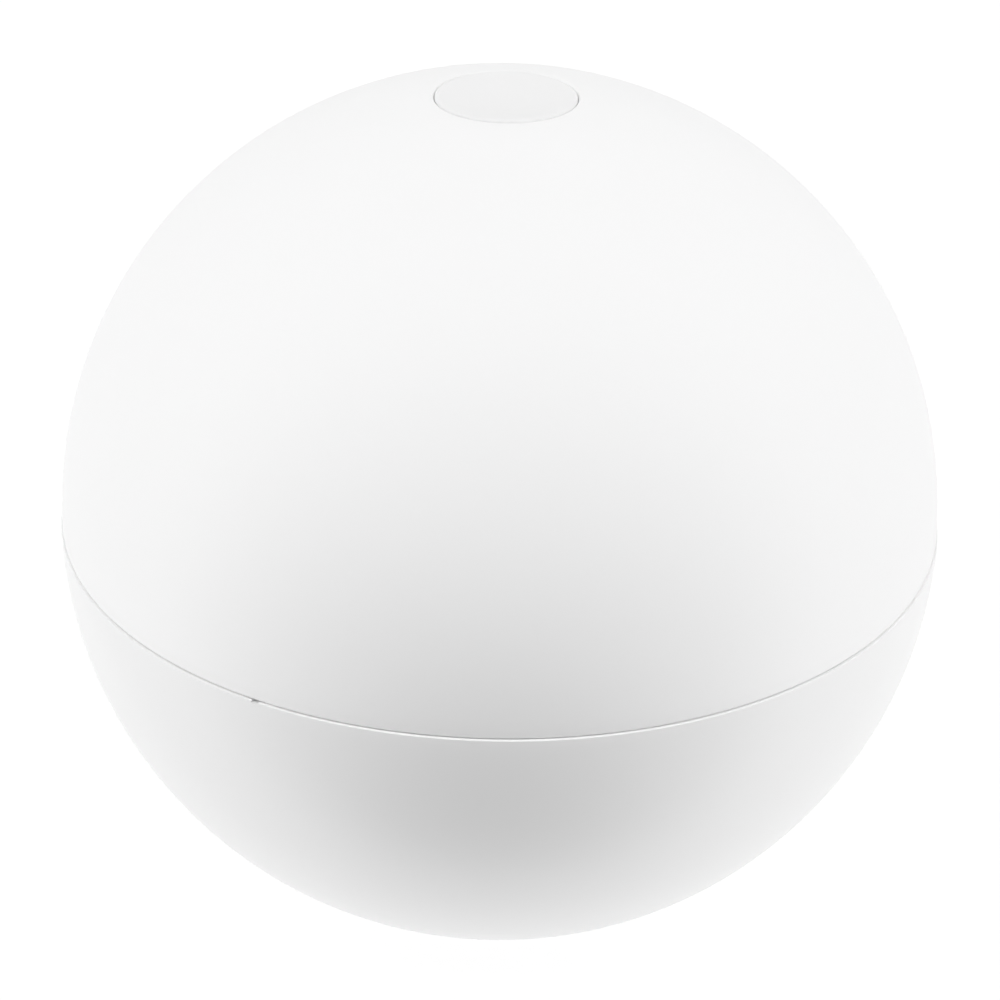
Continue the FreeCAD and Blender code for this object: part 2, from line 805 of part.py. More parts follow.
def button_cap():
    body = turned("button_cap", [
        ("0", "pin_bottom"),
        ("cap_pin_radius", "pin_bottom"),
        ("cap_pin_radius", "cap_underside"),
        ("skirt_inner", "cap_underside"),
        ("skirt_inner", "skirt_bottom"),
        ("cap_radius", "skirt_bottom"),
        ("cap_radius", "cap_top - cap_edge_round", "cap_edge_round"),
        ("cap_radius - cap_edge_round", "cap_top"),
        ("dish_outer", "cap_top"),
        ("dish_inner", "cap_floor"),
        ("0", "cap_floor"),
    ])
    hook_sketch = sketch_on(body, "XZ_Plane")
    draw_outline(hook_sketch, [
        ("cap_radius", "skirt_bottom"),
        ("cap_radius + hook_reach / 2", "skirt_bottom"),
        ("hook_radius", "skirt_bottom + hook_reach / 2"),
        ("hook_radius", "hook_top"),
        ("cap_radius", "hook_top"),
    ])
    hook = revolve(body, hook_sketch, "hook", "hook_angle")
    repeat(body, [hook], "hooks", "hook_count")
    return body


def button_boot():
    """The soft bell that keeps water out, springs the button back and passes its stroke on."""
    return turned("button_boot", [
        ("boot_bell_radius - boot_wall", "well_top"),
        ("boot_radius", "well_top"),
        ("boot_radius", "boot_flange_top"),
        ("boot_bell_radius", "boot_flange_top"),
        ("boot_tip_radius", "boot_top"),
        ("0", "boot_top"),
        ("0", "boot_underside"),
        ("boot_tip_radius - boot_wall / 2", "boot_underside"),
    ])


def boot_retainer():
    return turned("boot_retainer", [
        ("retainer_inner", "boot_flange_top"),
        ("boot_radius", "boot_flange_top"),
        ("boot_radius", "retainer_top"),
        ("retainer_inner", "retainer_top"),
    ])


# ---------------------------------------------------------------- lamp boards and switch post

def led_board():
    body = new_body("led_board")
    disc = sketch_on(body, "XY_Plane", "platform_top")
    draw_circle(disc, ("0", "0"), "led_board_radius")
    draw_circle(disc, ("0", "0"), "led_board_hole")
    for place in led_screw_places():
        draw_circle(disc, place, "small_screw_hole")
    extrude(body, disc, "board", "board_thickness")
    return body


def led_chips():
    body = new_body("led_chips")
    chip_sketch = sketch_on(body, "XY_Plane", "led_board_top")
    draw_box(chip_sketch, ("led_circle", "0"), "led_side", "led_side")
    chip = extrude(body, chip_sketch, "chip", "led_height")
    repeat(body, [chip], "chips", "led_count")
    return body


def switch_column():
    body = turned("switch_column", [
        ("column_bore", "platform_top"),
        ("column_flange_radius", "platform_top"),
        ("column_flange_radius", "column_flange_top"),
        ("column_radius", "column_flange_top"),
        ("column_radius", "column_top"),
        ("column_bore", "column_top"),
    ])
    holes = spots(body, column_screw_places(), "small_screw_hole", "column_flange_top")
    extrude(body, holes, "screw_holes", "column_flange_thickness", kind="Pocket")
    return body


def switch_holder():
    """The cup on the post that the switch board drops into."""
    return turned("switch_holder", [
        ("column_bore", "holder_bottom"),
        ("holder_radius", "holder_bottom"),
        ("holder_radius", "holder_top"),
        ("switch_board_radius + seat_gap", "holder_top"),
        ("switch_board_radius + seat_gap", "switch_board_bottom"),
        ("column_bore", "switch_board_bottom"),
    ])


def switch_board():
    body = new_body("switch_board")
    disc = sketch_on(body, "XY_Plane", "switch_board_bottom")
    draw_circle(disc, ("0", "0"), "switch_board_radius")
    extrude(body, disc, "board", "board_thickness")
    return body


def push_switch():
    body = new_body("push_switch")
    side = sketch_on(body, "XY_Plane", "switch_board_top")
    draw_box(side, ("0", "0"), "switch_side", "switch_side")
    extrude(body, side, "housing", "switch_height")
    bore = spots(body, [("0", "0")], "plunger_bore", "switch_top")
    extrude(body, bore, "bore", "switch_top - plunger_bore_end", kind="Pocket")
    return body


def switch_plunger():
    body = new_body("switch_plunger")
    stem = spots(body, [("0", "0")], "plunger_radius", "plunger_bottom")
    extrude(body, stem, "stem", "plunger_length")
    return body


# ---------------------------------------------------------------- battery

def battery_holder():
    body = new_body("battery_holder")
    tray = sketch_on(body, "XY_Plane", "floor_top")
    draw_box(tray, ("0", "battery_offset"), "holder_length", "holder_width")
    extrude(body, tray, "tray", "holder_base + holder_rise")
    room = sketch_on(body, "XY_Plane", "floor_top + holder_base + holder_rise")
    draw_box(room, ("0", "battery_offset"), "holder_room", "2 * cell_spacing")
    extrude(body, room, "room", "holder_rise", kind="Pocket")
    return body


def battery_cell(label, side):
    """One cell: a can with its raised contact, which lies along X beside its neighbour."""
    body = new_body(label)
    can = sketch_on(body, "YZ_Plane", "-cell_length / 2 - cell_button_height / 2")
    place = ("battery_offset + (%s) * cell_spacing / 2" % side, "cell_axis")
    draw_circle(can, place, "cell_radius")
    extrude(body, can, "can", "cell_length")
    button = sketch_on(body, "YZ_Plane", "cell_length / 2 - cell_button_height / 2")
    draw_circle(button, place, "cell_button_radius")
    extrude(body, button, "button", "cell_button_height")
    return body


def battery_tabs():
    """Nickel strips in the ends of the holder: one joins both cells, two stand alone."""
    body = new_body("battery_tabs")
    end = "(cell_length + cell_button_height) / 2"
    joined = sketch_on(body, "YZ_Plane", end)
    draw_box(joined, ("battery_offset", "cell_axis"), "cell_spacing + tab_width", "tab_width")
    extrude(body, joined, "joined", "tab_thickness")
    single = sketch_on(body, "YZ_Plane", "-" + end)
    for side in ("-", "+"):
        place = ("battery_offset %s cell_spacing / 2" % side, "cell_axis")
        draw_box(single, place, "tab_width", "tab_width")
    extrude(body, single, "single", "tab_thickness", down=True)
    return body


def clamp_screw_places():
    return [("0", "battery_offset %s clamp_screw_place" % side) for side in ("-", "+")]


def battery_clamp():
    """A bent steel strap over both cells, screwed down at each foot."""
    body = new_body("battery_clamp")
    strap = sketch_on(body, "YZ_Plane")
    bench = "floor_top + clamp_boss_height"
    reach = "clamp_inner + clamp_foot"
    skin = "clamp_inner + clamp_thickness"

    def across(side, formula):
        return "battery_offset %s (%s)" % (side, formula)

    draw_outline(strap, [
        (across("-", reach), bench),
        (across("-", "clamp_inner"), bench),
        (across("-", "clamp_inner"), "clamp_under"),
        (across("+", "clamp_inner"), "clamp_under"),
        (across("+", "clamp_inner"), bench),
        (across("+", reach), bench),
        (across("+", reach), "clamp_foot_top"),
        (across("+", skin), "clamp_foot_top"),
        (across("+", skin), "clamp_under + clamp_thickness"),
        (across("-", skin), "clamp_under + clamp_thickness"),
        (across("-", skin), "clamp_foot_top"),
        (across("-", reach), "clamp_foot_top"),
    ])
    extrude(body, strap, "strap", "clamp_width", middle=True)
    holes = spots(body, clamp_screw_places(), "small_screw_hole", "clamp_foot_top")
    extrude(body, holes, "holes", "clamp_thickness", kind="Pocket")
    return body


# ---------------------------------------------------------------- control board and port

def board_hole_places():
    return [
        ("%s board_hole_x" % along, "-board_offset %s board_hole_y" % across)
        for along in ("-", "0 +") for across in ("-", "+")
    ]


def control_board():
    body = new_body("control_board")
    plate = sketch_on(body, "XY_Plane", "board_bottom")
    draw_box(plate, port_place(), "board_length", "board_width")
    for place in board_hole_places():
        draw_circle(plate, place, "small_screw_hole")
    extrude(body, plate, "plate", "board_thickness")
    return body


def on_board(label, parts):
    """Pieces soldered on the control board: (across X, across Y, length, width, height)."""
    body = new_body(label)
    for index, (place_x, place_y, length, width, height) in enumerate(parts):
        foot = sketch_on(body, "XY_Plane", "board_top")
        place = (str(place_x), "-board_offset + (%s)" % place_y)
        draw_box(foot, place, str(length), str(width))
        extrude(body, foot, "part_%d" % index, str(height))
    return body


def round_on_board(label, parts):
    """Upright round pieces on the control board: (across X, across Y, radius, height)."""
    body = new_body(label)
    for index, (place_x, place_y, radius, height) in enumerate(parts):
        place = (str(place_x), "-board_offset + (%s)" % place_y)
        foot = spots(body, [place], str(radius), "board_top")
        extrude(body, foot, "part_%d" % index, str(height))
    return body


# Places and sizes of the parts on the control board, from the middle of the board.
CHIPS = [
    (-6, 4, 7, 7, 1),
    ("board_length / 2 - driver_chip_inset", -7, 5, 6, 1.6),
    ("charge_chip_inset - board_length / 2", -9, 3, 3, 0.9),
]
COILS = [("coil_inset - board_length / 2", -2, 3.4, 4)]
CAPACITORS = [
    ("board_length / 2 - capacitor_inset", 3, 2.5, 7),
    ("board_length / 2 - capacitor_inset - capacitor_pitch", 3, 2.5, 7),
]
PLUG_ROW = "board_width / 2 - plug_inset"
CONNECTORS = [
    (-6, PLUG_ROW, 6, 4.5, "plug_height"),
    (6, PLUG_ROW, 6, 4.5, "plug_height"),
    ("battery_plug_inset - board_length / 2", PLUG_ROW, 6, 4.5, "plug_height"),
]


def charge_socket():
    """An upright socket that hangs under the control board, with its tongue inside."""
    body = new_body("charge_socket")
    body.setExpression("Placement.Base.y", cells("-board_offset"))
    shell = sketch_on(body, "XY_Plane", "socket_bottom")
    draw_slot(shell, "socket_length", "socket_width")
    extrude(body, shell, "shell", "socket_height")
    mouth = sketch_on(body, "XY_Plane", "socket_bottom")
    inner_length = "(socket_length - 2 * socket_wall)"
    inner_width = "(socket_width - 2 * socket_wall)"
    draw_slot(mouth, inner_length, inner_width)
    extrude(body, mouth, "mouth", "socket_depth", down=True, kind="Pocket")
    blade = sketch_on(body, "XY_Plane", "socket_bottom + socket_lip")
    draw_box(blade, ("0", "0"), "socket_length - socket_width + tongue_plate", "tongue_plate")
    extrude(body, blade, "blade", "socket_depth - socket_lip")
    return body


def port_gasket():
    body = new_body("port_gasket")
    body.setExpression("Placement.Base.y", cells("-board_offset"))
    ring = sketch_on(body, "XY_Plane", "port_pad_top")
    border = " + 2 * port_gasket_border"
    draw_box(ring, ("0", "0"), "slot_length" + border, "slot_width" + border)
    draw_slot(ring, "(socket_length + 2 * seat_gap)", "(socket_width + 2 * seat_gap)")
    extrude(body, ring, "ring", "port_gasket_thickness")
    return body


def port_door():
    """The cover of the charging port: a plate with a spigot, on two pins at one end."""
    body = new_body("port_door")
    side = sketch_on(body, "XZ_Plane", "board_offset")
    radius = "door_thickness / 2"
    draw_outline(side, [
        ("-hinge_place", "foot_stand"),
        ("door_length / 2", "foot_stand"),
        ("door_length / 2", "foot_stand + door_thickness"),
        ("-hinge_place", "foot_stand + door_thickness", radius),
        ("-hinge_place - door_thickness / 2", "hinge_height", radius),
    ])
    extrude(body, side, "plate", "door_width", middle=True)
    spigot = sketch_on(body, "XY_Plane", "foot_stand + door_thickness")
    draw_box(spigot, port_place(), "spigot_length", "spigot_width")
    extrude(body, spigot, "spigot", "spigot_height")
    pins = sketch_on(body, "XZ_Plane", "board_offset")
    draw_circle(pins, ("-hinge_place", "hinge_height"), "hinge_pin_radius")
    across = "recess_width + 2 * hinge_pin_length"
    extrude(body, pins, "pins", across, middle=True)
    return body


# ---------------------------------------------------------------- leads

def plug_place(index):
    """Where a lead leaves one of the control board's connectors."""
    across, along = CONNECTORS[index][:2]
    return ("(%s)" % across, "-board_offset + (%s)" % along)


def switch_lead():
    across, along = plug_place(0)
    return leads("switch_lead", [[
        (across, along, "plug_top"),
        (across, along, "plug_top + lead_rise"),
        ("0", "0", "platform_bottom - lead_rise"),
        ("0", "0", "switch_board_bottom"),
    ]], "lead_radius")


def led_lead():
    across, along = plug_place(1)
    return leads("led_lead", [[
        (across, along, "plug_top"),
        (across, along, "plug_top + lead_rise"),
        ("0", "-lead_hole_place", "platform_bottom - lead_rise"),
        ("0", "-lead_hole_place", "platform_top"),
    ]], "lead_radius")


def battery_leads():
    """Two thin leads, over the cells to the strips that stand alone."""
    tab_place = "-(holder_room / 2 - tab_thickness + battery_lead_radius + seat_gap)"
    tab_top = "cell_axis + tab_width / 2"
    routes = []
    plug_across, plug_along = plug_place(2)
    for side, step in (("-", "0"), ("+", "battery_lead_step")):
        across = "%s %s battery_lead_pitch / 2" % (plug_across, side)
        tab_along = "battery_offset %s cell_spacing / 2" % side
        height = "plug_top + battery_lead_rise + %s" % step
        routes.append([
            (across, plug_along, "plug_top"),
            (across, plug_along, height),
            (tab_place, tab_along, height),
            (tab_place, tab_along, tab_top),
        ])
    return leads("battery_leads", routes, "battery_lead_radius")


# ---------------------------------------------------------------- the whole light

pieces = [
    base_shell(),
    rubber_feet(),
    deck_gasket(),
    lamp_deck(),
    screws("deck_screws", deck_screw_places(), "deck_top", small=False),
    rim_seal(),
    diffuser_dome(),
    button_cap(),
    button_boot(),
    boot_retainer(),
    led_board(),
    led_chips(),
    screws("led_board_screws", led_screw_places(), "led_board_top", small=True),
    switch_column(),
    screws("column_screws", column_screw_places(), "column_flange_top", small=True),
    switch_holder(),
    switch_board(),
    push_switch(),
    switch_plunger(),
    battery_holder(),
    battery_cell("battery_cell_front", "-1"),
    battery_cell("battery_cell_rear", "1"),
    battery_tabs(),
    battery_clamp(),
    screws("battery_clamp_screws", clamp_screw_places(), "clamp_foot_top", small=True),
    control_board(),
    screws("control_board_screws", board_hole_places(), "board_top", small=True),
    on_board("board_chips", CHIPS),
    round_on_board("board_coil", COILS),
    round_on_board("board_capacitors", CAPACITORS),
    on_board("board_connectors", CONNECTORS),
    charge_socket(),
    port_gasket(),
    port_door(),
    switch_lead(),
    led_lead(),
    battery_leads(),
]
doc.recompute()

for item in doc.Objects:
    if "Invalid" in item.State or "Error" in item.State:
        raise RuntimeError(item.Name + " did not build")
for piece in pieces:
    if piece.Shape.isNull() or not piece.Shape.isValid() or not piece.Shape.Solids:
        raise RuntimeError(piece.Label + " is not a valid solid")

os.makedirs("parts", exist_ok=True)
for piece in pieces:
    piece.Shape.exportStep("parts/%s.step" % piece.Label)
print("%d sub-parts written" % len(pieces))
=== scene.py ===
import math

import bmesh
import bpy
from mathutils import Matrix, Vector


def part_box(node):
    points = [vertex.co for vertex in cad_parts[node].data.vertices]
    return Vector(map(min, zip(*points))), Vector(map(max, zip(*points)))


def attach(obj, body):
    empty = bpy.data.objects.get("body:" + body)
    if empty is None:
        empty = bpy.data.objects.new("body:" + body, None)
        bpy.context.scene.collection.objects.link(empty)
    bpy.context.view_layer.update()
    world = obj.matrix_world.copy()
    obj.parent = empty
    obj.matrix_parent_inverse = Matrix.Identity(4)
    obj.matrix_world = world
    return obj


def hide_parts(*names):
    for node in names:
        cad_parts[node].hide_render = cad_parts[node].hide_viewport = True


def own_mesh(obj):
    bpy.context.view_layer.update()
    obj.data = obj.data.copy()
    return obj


# Garden globe light. Metres, +Z up, origin on the ground under the globe, front along -Y.

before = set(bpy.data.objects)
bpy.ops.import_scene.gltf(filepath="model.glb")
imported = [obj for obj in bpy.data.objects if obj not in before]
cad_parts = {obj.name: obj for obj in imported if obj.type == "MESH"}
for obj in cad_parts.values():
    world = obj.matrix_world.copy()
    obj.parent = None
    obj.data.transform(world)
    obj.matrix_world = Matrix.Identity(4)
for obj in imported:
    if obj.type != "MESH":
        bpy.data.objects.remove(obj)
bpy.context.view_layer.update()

# ------------------------------------------------------------------ places read from the frame

base_low, base_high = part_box("base_shell")
dome_low, dome_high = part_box("diffuser_dome")
cap_low, cap_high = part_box("button_cap")
door_low, door_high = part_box("port_door")
board_low, board_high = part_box("control_board")

CENTRE = base_high.z
STAND = base_low.z
GLOBE_RADIUS = min(base_high.x, base_high.y)
DOME_RADIUS = min(dome_high.x, dome_high.y)
TONGUE_BOTTOM = dome_low.z
CAP_TOP = cap_high.z
SKIRT_BOTTOM = cap_low.z
HOOK_RADIUS = min(cap_high.x, cap_high.y)
PORT_Y = (door_low.y + door_high.y) / 2
FEET_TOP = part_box("rubber_feet")[1].z
DECK_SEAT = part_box("deck_gasket")[1].z
CLAMP_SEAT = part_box("battery_clamp")[0].z

# ------------------------------------------------------------------ sizes of the modelled pieces

WALL = 0.0026
UNDERSIDE_ROUND = 0.005
RIM_ROUND = 0.00025
RIM_BORE = 0.0969
SHELF_DEPTH = 0.009
SHELF_WIDTH = 0.0027
SHELF_INNER = RIM_BORE - SHELF_WIDTH

FOOT_CIRCLE = 0.045937
FOOT_RECESS_RADIUS = 0.0081
FOOT_RECESS = 0.0008
FOOT_GAP = 0.0001
DOOR_RECESS = Vector((0.024, 0.012, 0.0022))
PORT_SLOT = Vector((0.0124, 0.0064, 0.0026))
PORT_PAD = Vector((0.030, 0.018, 0.0022))
HINGE_X = -0.0107
HINGE_HEIGHT = 0.0028
HINGE_HOLE = 0.0006
HINGE_REACH = 0.0146
HINGE_BARREL = 0.001
HINGE_PIN = 0.0005
DOOR_PLATE = 0.002
DOOR_HALF_WIDTH = 0.0057
GRIP_PLACES = (0.0068, 0.0080, 0.0092)
GRIP_RADIUS = 0.0005
GRIP_BELOW = 0.0002
SPIGOT_REACH = (0.006, 0.003)
NAIL_RADIUS = 0.004
NAIL_DEPTH = 0.0012
NOTCH_TURN = -119.5
NOTCH_WIDTH = 0.0017
NOTCH_DEPTH = 0.00045
NOTCH_REACH = 0.0018

DECK_BOSS_CIRCLE = 0.0865
DECK_POST_START = 0.01
COLUMN_SCREW_CIRCLE = 0.01125
LED_SCREW_CIRCLE = 0.0288
BOARD_CORNERS = [Vector((x, PORT_Y + y, 0)) for x in (-0.026, 0.026) for y in (-0.013, 0.013)]
CLAMP_FEET = [Vector((0, y, 0)) for y in (-0.0026, 0.0486)]
DECK_POST = {"radius": 0.00395, "bore": 0.00155}
BOARD_POST = {"radius": 0.00245, "bore": 0.00125}
CLAMP_POST = {"radius": 0.00365, "bore": 0.00125}

# A screw's head radius, head height, thread radius and length.
LARGE_SCREW = (0.0028, 0.002, 0.0015, 0.01)
SMALL_SCREW = (0.0022, 0.0015, 0.0012, 0.006)
THREAD_PITCH = 0.0008

SEAM_GAP = 0.00005
DOME_EDGE_ROUND = 0.0006
TONGUE_OUTER = 0.0966
TONGUE_WALL = 0.0014
LUG_INNER = 0.0932
LUG_HEIGHT = 0.003
LUG_DROP = 0.0033
NECK_TOP = 0.091856
LUG_COUNT = 4
LUG_ANGLE = 18

SEAL_INNER = 0.0933
RETAINER_INNER = 0.0104

CAP_BORE = 0.0155
MOUTH_ROUND = 0.0005
WELL_TOP = 0.168843
WELL_FLOOR = 0.002
WELL_HOLE = 0.0055
WELL_WALL = 0.0025
HOOK_POCKET = 0.0166
HOOK_COUNT = 3
HOOK_ANGLE = 30
POCKET_ANGLE = 34
POCKET_BELOW = 0.0018
POCKET_ABOVE = 0.0001

CAP_GAP = 0.00012
CAP_EDGE_ROUND = 0.0007
CAP_CREST = 0.0013
CAP_SLOPE = 0.003
CAP_DISH = 0.0008
CAP_PLATE = 0.0017
CAP_SKIRT = 0.0014
CAP_PIN = 0.0025
CAP_PIN_BOTTOM = 0.174543
HOOK_HEIGHT = 0.0018

UP = Vector((0, 0, 1))

# How finely round shapes are divided and shaded, and how near two points are to be merged.
TURN_STEPS = 240
LONG_STEP = 0.0026
SMOOTH_BELOW = math.radians(30)
MERGE_NEAR = 0.00002
MERGE_AFTER_CUT = 0.000003

# How far a cutting tool stands out of what it cuts, and how near a surface counts as on it.
BEYOND = 0.001
ON_SURFACE = 0.0001

# ------------------------------------------------------------------ modelling by hand, in code


def select_only(piece):
    """Make the piece the only one selected, and the active one."""
    bpy.ops.object.select_all(action="DESELECT")
    piece.select_set(True)
    bpy.context.view_layer.objects.active = piece


def start_mesh(name):
    """A new mesh of one point at the world's origin, open for editing."""
    bpy.ops.object.select_all(action="DESELECT")
    bpy.ops.mesh.primitive_plane_add(size=0.001, location=(0, 0, 0))
    piece = bpy.context.object
    piece.name = name
    bpy.ops.object.mode_set(mode="EDIT")
    bpy.ops.mesh.select_mode(type="VERT")
    bpy.ops.mesh.merge(type="CENTER")
    return piece


def clean_up():
    """Close the mesh being edited, turn its faces outwards and shade it."""
    bpy.ops.mesh.select_all(action="SELECT")
    bpy.ops.mesh.remove_doubles(threshold=MERGE_NEAR)
    bpy.ops.mesh.normals_make_consistent(inside=False)
    bpy.ops.object.mode_set(mode="OBJECT")
    bpy.ops.object.shade_smooth_by_angle(angle=SMOOTH_BELOW)


def draw(start, strokes):
    """Draw an outline in the XZ plane, in the mesh being edited. A stroke is (radius, height)
    for a straight line, or (radius, height, middle radius, middle height) for an arc about
    that middle."""
    bpy.ops.transform.translate(value=(start[0], 0, start[1]))
    here = Vector(start)
    for stroke in strokes:
        there = Vector(stroke[:2])
        if len(stroke) == 2:
            move = (there.x - here.x, 0, there.y - here.y)
            bpy.ops.mesh.extrude_region_move(TRANSFORM_OT_translate={"value": move})
        else:
            middle = Vector(stroke[2:])
            angle = (there - middle).angle_signed(here - middle)
            length = abs(angle) * (here - middle).length
            steps = max(6, round(length / LONG_STEP))
            bpy.ops.mesh.spin(
                steps=steps, angle=angle, center=(middle.x, 0, middle.y), axis=(0, 1, 0))
        here = there


def turned(name, start, strokes, steps=TURN_STEPS, axis=(0, 0, 1), place=(0, 0, 0)):
    """A solid turned about the globe's axis, or about another axis and then moved to its place.
    About X, an outline's first number runs along the axis and its second is the radius."""
    piece = start_mesh(name)
    draw(start, strokes)
    bpy.ops.mesh.select_all(action="SELECT")
    bpy.ops.mesh.spin(steps=steps, angle=math.tau, center=(0, 0, 0), axis=axis)
    bpy.ops.mesh.select_all(action="SELECT")
    bpy.ops.transform.translate(value=place)
    clean_up()
    return piece


def open_for_picking(piece, kind):
    """Open the piece for editing with nothing selected, and give its mesh."""
    select_only(piece)
    bpy.ops.object.mode_set(mode="EDIT")
    bpy.ops.mesh.select_mode(type=kind)
    bpy.ops.mesh.select_all(action="DESELECT")
    return bmesh.from_edit_mesh(piece.data)


def pick_faces(piece, test):
    """Open the piece for editing with only the faces whose middle and normal pass the test."""
    shape = open_for_picking(piece, "FACE")
    for face in shape.faces:
        face.select_set(bool(test(face.calc_center_median(), face.normal)))
    bmesh.update_edit_mesh(piece.data)


def pick_edges(piece, test):
    """Open the piece for editing with only the edges whose middle and direction pass the test."""
    shape = open_for_picking(piece, "EDGE")
    for edge in shape.edges:
        near, far = (corner.co for corner in edge.verts)
        edge.select_set(bool(test((near + far) / 2, (far - near).normalized())))
    bmesh.update_edit_mesh(piece.data)


def upright(middle, along):
    """Whether an edge runs up and down."""
    return abs(along.z) > 0.9


def soften(piece, radius, test, segments=3):
    """Round the picked edges."""
    pick_edges(piece, test)
    bpy.ops.mesh.bevel(offset=radius, segments=segments, affect="EDGES")
    clean_up()


def in_sectors(place, number, angle):
    """Whether a place lies in one of equal sectors spread about the axis from +X."""
    pitch = 360 / number
    turn = math.degrees(math.atan2(place.y, place.x)) % pitch
    return min(turn, pitch - turn) < angle / 2


def stretch_radially(piece, radius_from, radius_to, low, high, number, angle):
    """Extrude a round wall towards or away from the axis, between two heights and in equal
    sectors."""
    pick_faces(piece, lambda place, normal: (
        abs(math.hypot(place.x, place.y) - radius_from) < ON_SURFACE
        and low < place.z < high
        and in_sectors(place, number, angle)))
    bpy.ops.mesh.extrude_region_move()
    share = radius_to / radius_from
    bpy.ops.transform.resize(value=(share, share, 1), center_override=(0, 0, 0))
    clean_up()


def block(name, low, high, round_edge=0.0):
    """A box between two corners, with its edges rounded where that is asked for."""
    bpy.ops.object.select_all(action="DESELECT")
    bpy.ops.mesh.primitive_cube_add(size=1, location=(0, 0, 0))
    piece = bpy.context.object
    piece.name = name
    size = Vector(high) - Vector(low)
    bpy.ops.object.mode_set(mode="EDIT")
    bpy.ops.transform.resize(value=size, center_override=(0, 0, 0))
    bpy.ops.transform.translate(value=(Vector(low) + Vector(high)) / 2)
    if round_edge:
        bpy.ops.mesh.bevel(offset=round_edge, segments=2, affect="EDGES")
    clean_up()
    return piece


def rod(name, low, high, radius, axis="Z", sides=48, round_edge=0.0):
    """A round rod between two ends, with its end edges rounded where that is asked for."""
    low = Vector(low)
    high = Vector(high)
    length = (high - low).length
    turn = {"X": (0, math.pi / 2, 0), "Y": (math.pi / 2, 0, 0), "Z": (0, 0, 0)}[axis]
    bpy.ops.object.select_all(action="DESELECT")
    bpy.ops.mesh.primitive_cylinder_add(
        vertices=sides, radius=radius, depth=length, location=(low + high) / 2, rotation=turn)
    piece = bpy.context.object
    piece.name = name
    bpy.ops.object.transform_apply(location=True, rotation=True, scale=True)
    if round_edge:
        along = "XYZ".index(axis)
        pick_faces(piece, lambda place, normal: abs(normal[along]) > 0.9)
        bpy.ops.mesh.bevel(offset=round_edge, segments=4, affect="EDGES")
        clean_up()
    return piece


def join(pieces, name):
    """Join pieces into one mesh, each as it is."""
    bpy.ops.object.select_all(action="DESELECT")
    for piece in pieces:
        piece.select_set(True)
    bpy.context.view_layer.objects.active = pieces[0]
    bpy.ops.object.join()
    pieces[0].name = name
    return pieces[0]


def combine(piece, tool, operation):
    """Cut, add or keep the overlap with a tool that is then thrown away."""
    select_only(piece)
    modifier = piece.modifiers.new("fit", "BOOLEAN")
    modifier.operation = operation
    modifier.solver = "EXACT"
    modifier.object = tool
    bpy.ops.object.modifier_apply(modifier="fit")
    bpy.data.objects.remove(tool)
    bpy.ops.object.mode_set(mode="EDIT")
    bpy.ops.mesh.select_all(action="SELECT")
    bpy.ops.mesh.remove_doubles(threshold=MERGE_AFTER_CUT)
    bpy.ops.object.mode_set(mode="OBJECT")
    bpy.ops.object.shade_smooth_by_angle(angle=SMOOTH_BELOW)


def duplicate(piece):
    """A second piece with a mesh of its own, selected alone."""
    select_only(piece)
    bpy.ops.object.duplicate()
    return bpy.context.object


def copies(piece, places, name):
    """A copy of the piece's mesh moved by each of the places, joined. The piece itself goes."""
    made = []
    for place in places:
        copy = duplicate(piece)
        bpy.ops.transform.translate(value=place)
        bpy.ops.object.transform_apply(location=True, rotation=False, scale=False)
        made.append(copy)
    bpy.data.objects.remove(piece)
    return join(made, name)


def round_the_axis(piece, number, name):
    """Copies of the piece's mesh turned about the globe's axis in equal steps, joined. The
    piece itself goes."""
    made = []
    for index in range(number):
        copy = duplicate(piece)
        copy.rotation_euler = (0, 0, math.radians(index * 360 / number))
        bpy.ops.object.transform_apply(location=False, rotation=True, scale=False)
        made.append(copy)
    bpy.data.objects.remove(piece)
    return join(made, name)


def coat(piece, made):
    """Give a piece its one material."""
    piece.data.materials.clear()
    piece.data.materials.append(made)
    return piece


def fit(piece, body, slot, *nodes):
    """Attach the piece to the body it moves with and hide the parts it stands in for; the slot is
    not used.
    """
    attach(piece, body)
    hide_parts(*nodes)


def tubes(name, places, low, high, radius, bore):
    """Upright hollow posts between two heights."""
    posts = [rod(name, place + UP * low, place + UP * high, radius) for place in places]
    bores = [rod(name, place + UP * (low - BEYOND), place + UP * (high + BEYOND), bore, sides=24)
             for place in places]
    made = join(posts, name)
    combine(made, join(bores, "bores"), "DIFFERENCE")
    return made


def ring_places(radius, number, start=0.0):
    """Places spread evenly on a circle about the axis."""
    places = []
    for index in range(number):
        angle = math.radians(start + index * 360 / number)
        places.append(Vector((radius * math.cos(angle), radius * math.sin(angle), 0)))
    return places


# ------------------------------------------------------------------ shading networks

TRACK_PITCH = 0.0021


def material(name):
    """A new material, its shader and its object coordinates."""
    made = bpy.data.materials.new(name)
    made.use_nodes = True
    nodes = made.node_tree.nodes
    shader = nodes["Principled BSDF"]
    places = nodes.new("ShaderNodeTexCoord")
    return made, nodes, made.node_tree.links, shader, places.outputs["Object"]


def noise(nodes, links, coordinates, scale, detail, roughness=0.5):
    """Soft cloudy values between 0 and 1."""
    node = nodes.new("ShaderNodeTexNoise")
    node.inputs["Scale"].default_value = scale
    node.inputs["Detail"].default_value = detail
    node.inputs["Roughness"].default_value = roughness
    links.new(coordinates, node.inputs["Vector"])
    return node.outputs["Fac"]


def ramp(nodes, links, value, low, high, start=0.3, stop=0.7, smooth=False):
    """The value's range from start to stop, spread from low to high."""
    node = nodes.new("ShaderNodeMapRange")
    if smooth:
        node.interpolation_type = "SMOOTHSTEP"
    node.inputs["From Min"].default_value = start
    node.inputs["From Max"].default_value = stop
    node.inputs["To Min"].default_value = low
    node.inputs["To Max"].default_value = high
    links.new(value, node.inputs["Value"])
    return node.outputs["Result"]


